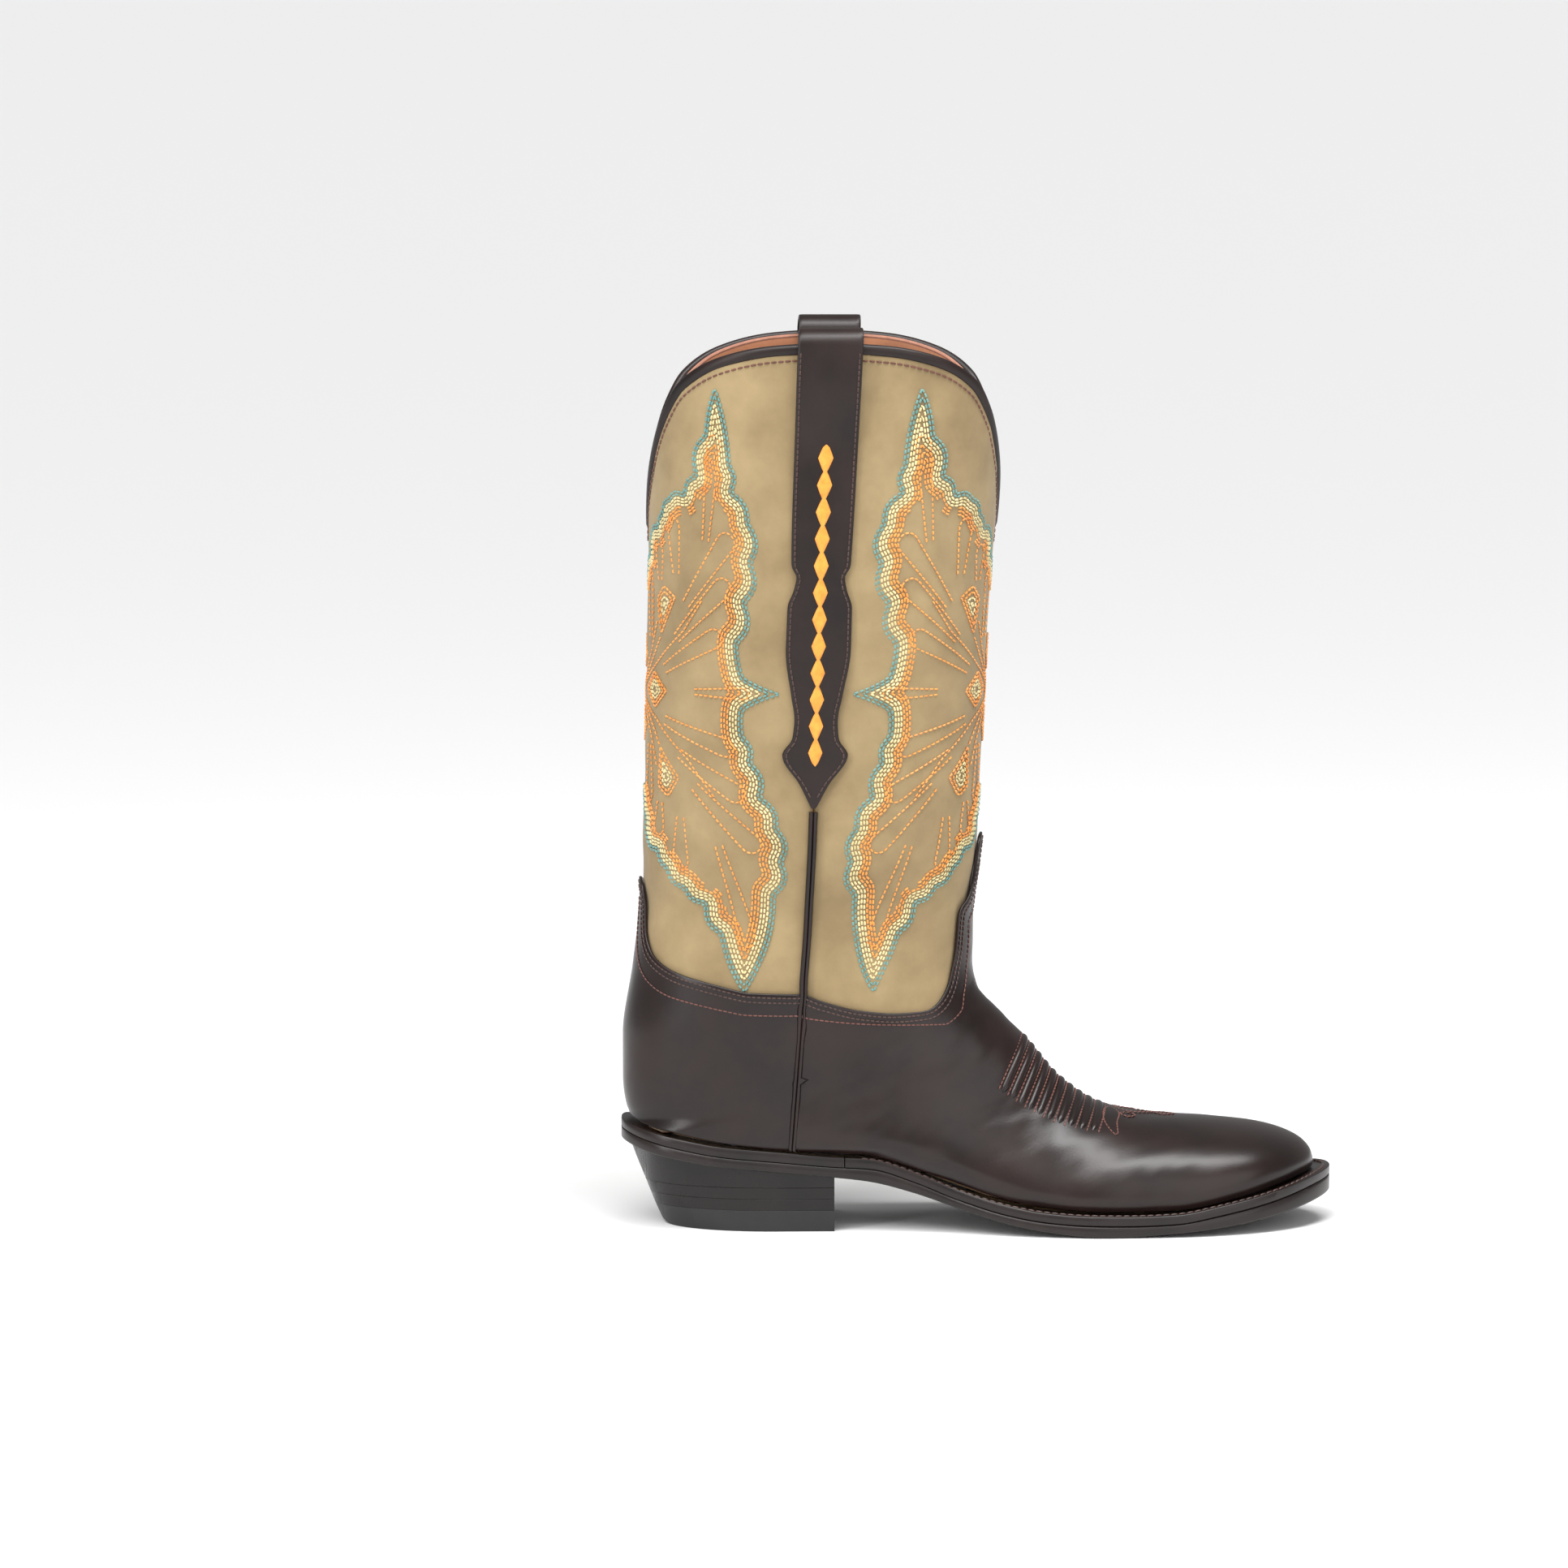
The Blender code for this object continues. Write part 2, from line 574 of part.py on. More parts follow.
def add_foot(where):
    half_welt = SIDE_WELT_WIDTH / 2 + 6 * GAP
    seam_front = lower_seam(half_welt, 7)
    seam_back = lower_seam(-half_welt, 7)
    tongue = tongue_path()
    tongue = resample(np.concatenate([tongue[tongue[:, 1] < seam_front[0, 1] - 0.02], seam_front[:1]]), 13)
    shell("vamp", forward_grid(np.concatenate([tongue[:-1], seam_front]), 17), COVER_OUT, COVER_THICKNESS,
          "dark_leather", where)
    shell("counter_cover", heel_grid(counter_path(), seam_back, 7), COVER_OUT, COVER_THICKNESS,
          "dark_leather", where)

    below = 1.0
    front = level_path(FRONT_PANEL_BOTTOM - below, LEG_SEAM_BOTTOM - below, 8, back=False)
    seam = lower_seam(2 * GAP, 7)
    seam = seam[girth_point(seam[:, 0], seam[:, 1])[:, 2] < LEG_SEAM_BOTTOM - below - 2]
    front = resample(np.concatenate([front[front[:, 1] < seam[0, 1] - 0.03], seam[:1]]), 10)[:-1]
    shell("vamp_lining", forward_grid(np.concatenate([front, seam]), 15), LINING_OUT, LINING_THICKNESS,
          "cognac_leather", where)

    heel = level_path(COUNTER_UNDER - below, LEG_SEAM_BOTTOM - below, 9, back=True)
    seam = lower_seam(-2 * GAP, 7)
    seam = seam[girth_point(seam[:, 0], seam[:, 1])[:, 2] < LEG_SEAM_BOTTOM - below]
    shell("counter_lining", heel_grid(heel, seam, 7), LINING_OUT, LINING_THICKNESS, "cognac_leather", where)
    shell("counter_stiffener", heel_grid(heel, seam, 7), STIFFENER_OUT, STIFFENER_THICKNESS, "stiffener_board", where)

    across = np.linspace(-1, 1, 23)
    box = between([(TOE_BOX_STARTS, s) for s in across], [(LAST, s) for s in across], 10)
    shell("toe_box", box, STIFFENER_OUT, STIFFENER_THICKNESS, "stiffener_board", where)


def add_side_welt(side, label, where):
    """The strip over the side seam, from the point of the pull strap down to the sole."""
    join = seam_join()[0]
    start = station_at(SEAM_TOP, STRAP_HALF[0][0] - 1.5)
    leg = [(t, seam_girth(t)) for t in np.linspace(start, join, 7)[:-1]]
    path = np.array(leg + [seam_line(v) for v in np.linspace(0, 1, 7)])
    edges = [shifted(path, SIDE_WELT_WIDTH / 2), shifted(path, -SIDE_WELT_WIDTH / 2)]
    for edge in edges:
        edge[-1, 1] = 1.0
    grid = np.stack(edges, axis=1) * (1, side)
    shell(f"side_welt_{label}", grid, COVER_OUT, COVER_THICKNESS, "dark_leather", where)


# -------------------------------------------------------------------------------------- pull straps


def strap_offset(z):
    """Distance of the strap's middle from the leg, on its outer leg: flat below, standing off at the top."""
    flat = LAYER_GAP + STRAP_THICKNESS / 2
    return flat + (STRAP_STAND_OFF + STRAP_THICKNESS / 2 - flat) * ramp(z, STRAP_LIES_BELOW, STRAP_TOP - 14)


def across_seam(side, z, sideways, offset):
    """A point beside the side seam, at a height and a distance round the leg, held off it by an offset."""
    t = station_at(SEAM_TOP, z)
    centre = seam_girth(t)
    e = 0.01
    per_girth = np.linalg.norm(girth_point(t, centre + e) - girth_point(t, centre - e)) / (2 * e)
    return upper(t, side * (centre - sideways / per_girth), offset)


def strip(name, rows, side, finish, where, columns=5, thickness=STRAP_THICKNESS):
    """A strip of leather or thread along the side seam, from rows of height, half-width and offset."""
    points = np.array([
        [across_seam(side, z, half * u, offset) for u in np.linspace(-1, 1, columns)]
        for z, half, offset in rows
    ])
    faces = grid_faces(len(rows), columns)
    if side < 0:
        faces = [face[::-1] for face in faces]
    mesh = bpy.data.meshes.new(name)
    mesh.from_pydata([tuple(v) for v in points.reshape(-1, 3) * MM], [], faces)
    made = finish_object(name, mesh, finish, where, thickness)
    made.modifiers["thickness"].offset = 0
    return made


def add_pull_strap(side, label, where):
    """A strap that lies on the leg, stands off near the rim, folds over it and is caught inside the leg."""
    outer = STRAP_STAND_OFF + STRAP_THICKNESS / 2
    inner_bottom = LINING_OUT - LINING_THICKNESS - LAYER_GAP - STRAP_THICKNESS / 2
    inner = -outer
    radius = (outer - inner) / 2
    fold = STRAP_TOP - STRAP_THICKNESS / 2 - radius
    heights = [z for z, _ in STRAP_HALF[:-1]] + [302, 312, 322, fold]
    rows = [(z, float(table(STRAP_HALF, z)), float(strap_offset(z))) for z in heights]
    top_half = STRAP_HALF[-1][1]
    for angle in np.radians(np.arange(30, 180, 30)):
        rows.append((fold + radius * math.sin(angle), top_half, radius * math.cos(angle)))
    for v in np.linspace(0, 1, 4):
        rows.append((fold + (STRAP_INSIDE_BOTTOM - fold) * v, top_half, inner + (inner_bottom - inner) * v))
    strip(f"pull_strap_{label}", rows, side, "dark_leather", where)

    rows = []
    low, high = DIAMOND_RANGE
    pitch = (high - low) / DIAMONDS
    lift = STRAP_THICKNESS / 2 + GAP + THREAD_THICKNESS / 2
    for i in range(2 * DIAMONDS + 1):
        z = low + pitch * i / 2
        half = DIAMOND_HALF if i % 2 else DIAMOND_NECK
        rows.append((z, half, float(strap_offset(z)) + lift))
    strip(f"strap_embroidery_{label}", rows, side, "orange_thread", where, columns=3,
          thickness=THREAD_THICKNESS)


# --------------------------------------------------------------------------------------------- sole


def outline(ts, outward):
    """Half of the boot's plan at the feather line, moved outward: x and distance from the centre line."""
    ts = np.asarray(ts, float)
    e = 0.004
    x = girth_point(ts, 1.0)[:, 0]
    ahead = girth_point(np.minimum(ts + e, LAST), 1.0)
    behind = girth_point(np.maximum(ts - e, HEEL_CORNER), 1.0)
    y = girth_point(ts, 1.0)[:, 1] - swing(x)
    dx = ahead[:, 0] - behind[:, 0]
    dy = (ahead[:, 1] - swing(ahead[:, 0])) - (behind[:, 1] - swing(behind[:, 0]))
    length = np.hypot(dx, dy)
    distance = outward(x) if callable(outward) else outward
    return np.stack([x - distance * dy / length, y + distance * dx / length], axis=1)


def ledge(x):
    return table(LEDGE, x)


def station_at_x(x):
    """Station at which the feather line is at x."""
    return solve(lambda t: girth_point(t, 1.0)[0] - x, HEEL_CORNER, LAST)


def sole_stations(x_from, x_to, count):
    """Stations along the feather line, closer together where it turns at heel and toe."""
    end = 0.03
    start = HEEL_CORNER + end if x_from is None else station_at_x(x_from)
    finish = LAST - end if x_to is None else station_at_x(x_to)
    return np.linspace(start, finish, count)


def plate(name, ts, outward, top, bottom, finish, where):
    """A flat piece of the sole: the plan between stations, between two heights that vary along the boot."""
    rows = []
    for x, half in outline(ts, outward):
        y = swing(x)
        half = max(half, 1.0)
        rows.append([(x, y - half, top(x)), (x, y + half, top(x)), (x, y + half, bottom(x)),
                     (x, y - half, bottom(x))])
    return loft(name, rows, finish, where)


def band(name, ts, inside, top, bottom, finish, where):
    """A U-shaped strip along the edge of the sole, from one end round the toe or heel to the other."""
    outer = outline(ts, ledge)
    inner = outline(ts, -inside)
    rows = []
    for side, order in ((1, 1), (-1, -1)):
        for (xo, yo), (xi, yi) in list(zip(outer, inner))[::order]:
            corners = ((xo, yo), (xi, yi))
            ring = [(x, swing(x) + side * y, top(x)) for x, y in corners]
            ring += [(x, swing(x) + side * y, bottom(x)) for x, y in corners[::-1]]
            rows.append(ring)
    return loft(name, rows, finish, where)


def above(points, distance):
    """A height function: a curve through points, moved up by a distance."""
    return lambda x: float(table(points, x)) + distance


def add_soles(where):
    outsole_top = -WELT_THICKNESS - GAP
    whole = sole_stations(None, None, 31)
    outsole = plate("outsole", whole, ledge, above(SOLE_TOP, outsole_top), above(SOLE_BOTTOM, 0),
                    "sole_leather", where)
    welt = band("welt", sole_stations(WELT_FROM, None, 20), WELT_INSIDE, above(SOLE_TOP, 0),
                above(SOLE_TOP, -WELT_THICKNESS), "heel_leather", where)
    band("heel_seat_rand", sole_stations(None, WELT_FROM - 1, 12)[::-1], WELT_INSIDE, above(SOLE_TOP, 0),
         above(SOLE_TOP, -WELT_THICKNESS), "heel_leather", where)
    insole = plate("insole", whole[1:-1], -INSOLE_INSET, above(SOLE_TOP, GAP),
                   above(SOLE_TOP, GAP + INSOLE_THICKNESS), "insole_leather", where)
    plate("forefoot_filler", sole_stations(FILLER_STARTS, None, 14), -WELT_INSIDE - 0.6,
          above(SOLE_TOP, -GAP), above(SOLE_TOP, GAP - WELT_THICKNESS), "cork", where)

    start, end, width, thick = SHANK_SIZE
    low = 0.3 - WELT_THICKNESS
    rows = []
    for x in np.linspace(start, end, 13):
        heights = above(SOLE_TOP, low + thick)(x), above(SOLE_TOP, low)(x)
        rows.append([(x, side * width / 2, z) for side, z in
                     zip((-1, 1, 1, -1), (heights[0], heights[0], heights[1], heights[1]))])
    loft("shank", rows, "spring_steel", where)

    floor = GAP + INSOLE_THICKNESS + GAP
    plate("heel_pad", sole_stations(None, PAD_FRONT - 9, 10)[1:], -PAD_INSET,
          above(SOLE_TOP, floor + PAD_THICKNESS), above(SOLE_TOP, floor), "sock_foam", where)

    def sock_bottom(x):
        lift = (PAD_THICKNESS + GAP) * (1 - float(ramp(x, PAD_FRONT + 2, PAD_FRONT + 20)))
        return float(table(SOLE_TOP, x)) + floor + lift

    plate("sock_liner", whole[1:-1], -SOCK_INSET, lambda x: sock_bottom(x) + SOCK_THICKNESS, sock_bottom,
          "cognac_leather", where)
    return outsole, welt, insole


def heel_half(x, z):
    """Half-width of the heel at a place along it and a height: straight sides, and a round back."""
    half = float(table(HEEL_HALF, z))
    back = float(table(HEEL_BACK, z))
    if x > HEEL_ROUND_FROM:
        return half * (1 - 0.03 * (x - HEEL_ROUND_FROM) / (BREAST_X - HEEL_ROUND_FROM))
    return half * math.sqrt(max(1 - ((HEEL_ROUND_FROM - x) / (HEEL_ROUND_FROM - back)) ** 2, 0.0004))


def heel_layer(name, low, high, finish, where):
    """One layer of the heel between two levels, which may slope, lofted from the breast to the back."""
    height_at_back = tuple((x, z) for z, x in HEEL_BACK[::-1])
    end = HEEL_BACK[-1][1]
    for _ in range(5):
        end = float(table(HEEL_BACK, high(end)))
    xs = [*np.linspace(BREAST_X, HEEL_ROUND_FROM, 4)[:-1]]
    xs += [HEEL_ROUND_FROM - (HEEL_ROUND_FROM - end) * math.sin(a) for a in np.radians(np.arange(0, 88, 9.6))]
    rows = []
    for x in xs:
        top = high(x)
        bottom = low(x)
        if x < HEEL_BACK[0][1]:
            bottom = max(bottom, float(table(height_at_back, x)))
        bottom = min(bottom, top - 0.05)
        wide, narrow = heel_half(x, top), heel_half(x, bottom)
        rows.append([(x, -wide, top), (x, wide, top), (x, narrow, bottom), (x, -narrow, bottom)])
    return loft(name, rows, finish, where)


def flat(z):
    return lambda x: z


def add_heel(where):
    """The stack: a rubber top lift on the ground, two flat lifts and a wedge up to the sloping seat."""
    top, first, second = HEEL_LEVELS
    layers = (
        ("heel_top_lift", flat(0.0), flat(top), "heel_rubber"),
        ("heel_lift_1", flat(top + GAP), flat(first), "heel_leather"),
        ("heel_lift_2", flat(first + GAP), flat(second), "heel_leather"),
        ("heel_wedge", flat(second + GAP), above(SOLE_BOTTOM, -GAP), "heel_leather"),
    )
    return [heel_layer(name, low, high, finish, where) for name, low, high, finish in layers]


# ------------------------------------------------------------------------------------ nails and pegs


def pin(name, x, y, low, high, radius, finish, where):
    bpy.ops.mesh.primitive_cylinder_add(
        vertices=8, radius=radius * MM, depth=(high - low) * MM, location=(x * MM, y * MM, (low + high) / 2 * MM)
    )
    made = bpy.context.object
    made.name = name
    made.data.name = name
    made.data.materials.append(material(finish))
    for holder in list(made.users_collection):
        holder.objects.unlink(made)
    where.objects.link(made)
    return made


def cutter(name, places, radius, where):
    """One mesh of upright rods, for the holes that nails or pegs go through."""
    rods = bmesh.new()
    for x, y, low, high in places:
        rod = bmesh.ops.create_cone(rods, cap_ends=True, segments=8, radius1=radius * MM, radius2=radius * MM,
                                    depth=(high - low) * MM)
        bmesh.ops.translate(rods, verts=rod["verts"], vec=(x * MM, y * MM, (low + high) / 2 * MM))
    mesh = bpy.data.meshes.new(name)
    rods.to_mesh(mesh)
    rods.free()
    made = bpy.data.objects.new(name, mesh)
    made.hide_render = True
    made.display_type = "WIRE"
    where.objects.link(made)
    return made


def cut(piece, tool):
    hole = piece.modifiers.new("holes", "BOOLEAN")
    hole.operation = "DIFFERENCE"
    hole.object = tool


def add_fasteners(outsole, welt, insole, lifts, where, cutters):
    clear = 0.4
    nails = []
    for i, (x, y) in enumerate(NAILS):
        low = HEEL_LEVELS[0] + clear
        high = float(table(SOLE_TOP, x)) + GAP + INSOLE_THICKNESS - 0.1
        pin(f"heel_nail_{i + 1}", x, y, low, high, NAIL_RADIUS, "spring_steel", where)
        nails.append((x, y, 5.0, high + 3))
    pegs = []
    for side, label in ((-1, "lateral"), (1, "medial")):
        for i, x in enumerate(PEG_XS):
            half = outline([station_at_x(x)], 0.0)[0, 1]
            y = side * (half - PEG_INSET) + float(swing(x))
            low = float(table(SOLE_BOTTOM, x)) + clear
            high = float(table(SOLE_TOP, x)) - clear
            pin(f"sole_peg_{label}_{i + 1}", x, y, low, high, PEG_RADIUS, "peg_wood", where)
            pegs.append((x, y, low - 3, high + 3))
    nail_holes = cutter("nail_holes", nails, NAIL_RADIUS + HOLE_CLEARANCE, cutters)
    peg_holes = cutter("peg_holes", pegs, PEG_RADIUS + HOLE_CLEARANCE, cutters)
    for piece in (outsole, insole, *lifts[1:]):
        cut(piece, nail_holes)
    for piece in (outsole, welt):
        cut(piece, peg_holes)


def main():
    clear_scene()
    boot = new_collection("cowboy_boot")
    cutters = new_collection("cutters")
    add_leg(boot)
    add_foot(boot)
    for side, label in ((-1, "lateral"), (1, "medial")):
        add_side_welt(side, label, boot)
        add_pull_strap(side, label, boot)
        add_top_piping(side, label, boot)
    outsole, welt, insole = add_soles(boot)
    lifts = add_heel(boot)
    add_fasteners(outsole, welt, insole, lifts, boot, cutters)


main()
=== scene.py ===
"""Cowboy boot, right foot: the visual model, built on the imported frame.

The toe points along +X, the outer (lateral) side faces -Y and the leg stands along +Z. Lengths are in
millimetres until a mesh is made. The upper is one smooth surface, addressed by a station t, which runs from
above the rim (0) down the leg and along the foot to the toe tip, and by a girth position s: 0 is the front
or top centre line, 1 the back centre line or the feather line. Negative s is the lateral side.
"""
import functools
import math

import bmesh
import bpy
import numpy as np
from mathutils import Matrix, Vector


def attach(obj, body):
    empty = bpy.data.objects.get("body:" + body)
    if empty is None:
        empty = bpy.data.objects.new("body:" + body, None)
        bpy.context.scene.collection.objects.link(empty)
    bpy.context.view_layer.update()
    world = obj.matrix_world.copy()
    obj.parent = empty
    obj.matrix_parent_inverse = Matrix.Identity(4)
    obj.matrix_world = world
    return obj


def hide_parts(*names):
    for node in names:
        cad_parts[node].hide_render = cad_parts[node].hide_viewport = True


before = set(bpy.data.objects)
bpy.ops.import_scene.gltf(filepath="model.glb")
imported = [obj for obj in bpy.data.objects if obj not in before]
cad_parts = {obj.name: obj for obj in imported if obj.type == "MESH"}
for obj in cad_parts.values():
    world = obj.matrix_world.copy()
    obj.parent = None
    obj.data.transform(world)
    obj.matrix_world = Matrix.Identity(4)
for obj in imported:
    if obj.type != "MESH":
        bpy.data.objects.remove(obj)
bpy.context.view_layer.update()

MM = 0.001
LAYER_GAP = 0.8
SHAFT_THICKNESS = 1.4
LINING_THICKNESS = 1.0
COVER_THICKNESS = 1.2
SHAFT_OUT = 0.0
LINING_OUT = -SHAFT_THICKNESS - LAYER_GAP
COVER_OUT = LAYER_GAP + COVER_THICKNESS
STATIONS = (
    # front x, front z, end x, end z, end half, half, widest at, front roundness, back roundness
    (14, 355, -124, 355, 0, 51.5, 0.50, 0.80, 0.8),
    (9.8, 300, -124.4, 300, 0, 50.7, 0.50, 0.82, 0.82),
    (5.2, 252, -124, 252, 0, 49, 0.50, 0.85, 0.85),
    (2.5, 200, -125, 200, 0, 45.6, 0.50, 0.90, 0.9),
    (0.2, 150, -126.2, 150, 0, 41.6, 0.50, 0.95, 0.95),
    (-1.2, 120, -127.9, 120, 0, 38, 0.50, 1, 0.95),
    (-1.5, 102, -130.5, 98, 0, 36, 0.50, 1, 0.9),
    (0.5, 90.5, -134.2, 73, 0, 34.5, 0.49, 1, 0.84),
    (7, 82.5, -134.2, 56, 0, 33.6, 0.48, 1, 0.8),
    (12.5, 76.5, -132.2, 43.6, 0, 33.2, 0.48, 1, 0.78),
    (18.5, 70.5, -127.5, 40.6, 15.8, 33, 0.50, 1, 0.8),
    (24, 63.8, -115, 37.8, 25.8, 32.8, 0.54, 1, 0.85),
    (29.2, 57.5, -95, 34, 29, 32.8, 0.60, 1, 0.92),
    (34.5, 52.8, -70, 31.2, 28.8, 33.2, 0.68, 1, 1),
    (40.5, 48.4, -45, 29.8, 28, 33.8, 0.74, 1, 1),
    (48, 44.6, -15, 21.6, 30, 35.5, 0.80, 1, 1),
    (59, 42.1, 16, 12.4, 36, 38.6, 0.82, 1, 1),
    (74, 40.5, 50, 9.3, 39.4, 41, 0.84, 1, 1),
    (90, 39.1, 76, 9.8, 39, 40.5, 0.84, 1, 1),
    (106, 37.1, 98, 13.4, 34.6, 36.2, 0.82, 1, 1),
    (117, 34.2, 113, 17.1, 26.5, 28, 0.80, 1, 1),
    (124.2, 30.4, 122.3, 19.4, 16.8, 17.8, 0.78, 1, 1),
    (127.4, 26.6, 126.8, 20.6, 8.4, 9, 0.75, 1, 1),
    (128.4, 23.4, 128.3, 21.4, 0, 0.001, 0.70, 1, 1),
)
LAST = len(STATIONS) - 1
HEEL_CORNER = 9
COVER_STARTS = (4.0, 5.0)
SWING = 6.0
SWING_FROM = 10.0
SWING_TO = 135.0
RIM = ((0, 268), (8, 282), (18, 296.5), (30, 312), (40, 321.5), (57, 330), (75, 334.5), (90, 336))
SEAM_TOP = 0.5
SEAM_JOIN = (-65.5, 91.5)
SEAM_FOOT = -70.0
SEAM_FOOT_HEIGHT = 31.2
SIDE_WELT_WIDTH = 3.2
SEAM_SHARE = 0.998
TONGUE = ((0, 149), (4.5, 147.8), (6.9, 144), (7.2, 135), (9.5, 126.5), (16.6, 120), (17.4, 107),
          (20.5, 96), (27, 88), (36, 84), (47, 83.6), (60, 85), (74, 89))
COUNTER = ((0, 132), (6, 130.5), (10, 124), (12.5, 114), (18, 106), (30, 99.5), (48, 95), (62, 92))
FRONT_PANEL_BOTTOM = 77.0
LEG_SEAM_BOTTOM = 80.0
COUNTER_UNDER = 112.0
SOLE_TOP = ((-138, 41.6), (-126, 38.1), (-115, 35.8), (-96, 32.6), (-72, 30.4), (-54, 28.8), (-40, 28.0),
            (-24, 23.3), (-8, 17.1), (10, 12.0), (26, 9.4), (42, 8.4), (58, 8.2), (74, 8.7), (90, 11.3),
            (112, 15.7), (128, 19.9), (140, 22.5))
SOLE_BOTTOM = ((-138, 34.0), (-126, 30.1), (-115, 27.8), (-96, 24.8), (-72, 22.6), (-54, 20.9), (-40, 19.2),
               (-24, 15.2), (-8, 10.0), (10, 4.9), (26, 1.9), (48, 0.0), (69, 1.0), (90, 2.9), (112, 6.3),
               (128, 9.9), (140, 13.2))
LEDGE = ((-138, 3), (-128, 2.4), (-110, 1.4), (-70, 1), (-30, 1), (0, 2), (25, 3.6), (60, 4.3), (100, 5),
         (122, 6), (130, 6.6))
WELT_THICKNESS = 3.6
WELT_INSIDE = 6.0
WELT_FROM = -50.0
BREAST_X = -54.0
HEEL_ROUND_FROM = -78.0
HEEL_BACK = ((0, -118.6), (7, -121.8), (17, -125.8), (28, -130.2), (42, -135.0))
HEEL_HALF = ((0, 26.0), (18, 27.4), (30, 29.2), (42, 31.0))
HEEL_LEVELS = (8.0, 12.4, 16.8)
STRAP_HALF = ((163, 0.8), (172, 5.8), (183, 13.9), (189, 9.6), (196, 8.9), (205, 10.8), (223, 14.5),
              (238, 14.6), (245, 11.6), (249.5, 10.5), (254, 13.4), (290, 14.6), (345, 15.2))
STRAP_THICKNESS = 1.5
STRAP_STAND_OFF = 4.8
STRAP_TOP = 342.0
STRAP_INSIDE_BOTTOM = 296.0
STRAP_LIES_BELOW = 292.0
DIAMONDS = 12
DIAMOND_RANGE = (179.0, 299.0)
DIAMOND_HALF = 2.6
DIAMOND_NECK = 0.5


@functools.lru_cache(maxsize=None)
def tangents(xs, ys):
    """Slopes at the points (xs, ys) with which a smooth curve never overshoots them."""
    slope = np.diff(ys) / np.diff(xs)
    product = slope[:-1] * slope[1:]
    total = slope[:-1] + slope[1:]
    inner = np.where(product > 0, 2 * product / np.where(total == 0, 1, total), 0)
    return np.concatenate([slope[:1], inner, slope[-1:]])


def hermite(xs, ys, x):
    """Smooth curve through the points (xs, ys), tuples of numbers, read at x."""
    tangent = tangents(xs, ys)
    xs, ys = np.array(xs, float), np.array(ys, float)
    x = np.clip(np.asarray(x, float), xs[0], xs[-1])
    i = np.clip(np.searchsorted(xs, x, side="right") - 1, 0, len(xs) - 2)
    step = xs[i + 1] - xs[i]
    u = (x - xs[i]) / step
    rise = (2 * u**3 - 3 * u**2 + 1) * ys[i] + (3 * u**2 - 2 * u**3) * ys[i + 1]
    lean = (u**3 - 2 * u**2 + u) * tangent[i] + (u**3 - u**2) * tangent[i + 1]
    return rise + lean * step


def table(points, x):
    """A smooth curve through a list of pairs, read at x."""
    xs, ys = zip(*points)
    return hermite(xs, ys, x)


def ramp(x, lo, hi):
    u = np.clip((np.asarray(x, float) - lo) / (hi - lo), 0, 1)
    return u * u * (3 - 2 * u)


def swing(x):
    return SWING * ramp(x, SWING_FROM, SWING_TO)


def station_columns():
    """The columns of the station table. Half-widths are squared, so that heel and toe close roundly."""
    columns = [tuple(column) for column in zip(*STATIONS)]
    columns[4] = tuple(half**2 for half in columns[4][HEEL_CORNER:])
    columns[5] = tuple(half**2 for half in columns[5])
    return columns


COLUMNS = station_columns()


def girth_point(t, s):
    """Point of the visible outer surface at station t and girth position s, as an array of x, y, z."""
    t = np.clip(np.asarray(t, float), 0, LAST)
    s = np.asarray(s, float)
    fx, fz, ex, ez, end_squared, half_squared, widest, front_round, back_round = (
        hermite(tuple(range(LAST + 1 - len(column), LAST + 1)), column, t) for column in COLUMNS
    )
    end_half = np.sqrt(end_squared)
    half = np.sqrt(half_squared)
    end_angle = math.pi - np.arcsin(np.clip(end_half / half, 0, 1) ** (1 / back_round))
    angle = np.abs(s) * end_angle
    cx = fx + (ex - fx) * widest
    cz = fz + (ez - fz) * widest
    cosine = np.cos(angle)
    forward = np.clip(cosine, 0, None) ** front_round
    back = np.clip(-cosine / -np.cos(end_angle), 0, None) ** back_round
    x = cx + (fx - cx) * forward + (ex - cx) * back
    z = cz + (fz - cz) * forward + (ez - cz) * back
    y = np.sign(s) * half * np.abs(np.sin(angle)) ** np.where(cosine > 0, front_round, back_round)
    return np.stack([x, y + swing(x), z], axis=-1)


def upper(t, s, offset=0.0):
    """Point at a distance outside the leg's outer surface; vamp and counter lie flush with the outline."""
    t = np.minimum(np.asarray(t, float), LAST - 0.004)
    s = np.where(np.abs(s) < 1e-6, 1e-6, s)
    e = 0.002
    inner = np.where(np.abs(s) > 1 - e, np.sign(s) * (1 - e), s)
    along = girth_point(t + e, s) - girth_point(t - e, s)
    around = girth_point(t, inner + e) - girth_point(t, inner - e)
    normal = np.cross(along, around)
    normal /= np.linalg.norm(normal, axis=-1, keepdims=True)
    shift = offset - COVER_OUT * ramp(t, *COVER_STARTS)
    return girth_point(t, s) + normal * np.asarray(shift)[..., None]


def solve(measure, lo, hi, steps=50):
    """The value between lo and hi where measure, which grows from lo to hi, is 0."""
    for _ in range(steps):
        middle = (lo + hi) / 2
        if measure(middle) < 0:
            lo = middle
        else:
            hi = middle
    return (lo + hi) / 2


@functools.lru_cache(maxsize=None)
def station_at(s, z):
    """The station at which the girth position s is at height z, on the leg or the ankle."""
    return solve(lambda t: z - girth_point(t, s)[2], 0.0, HEEL_CORNER + 5)


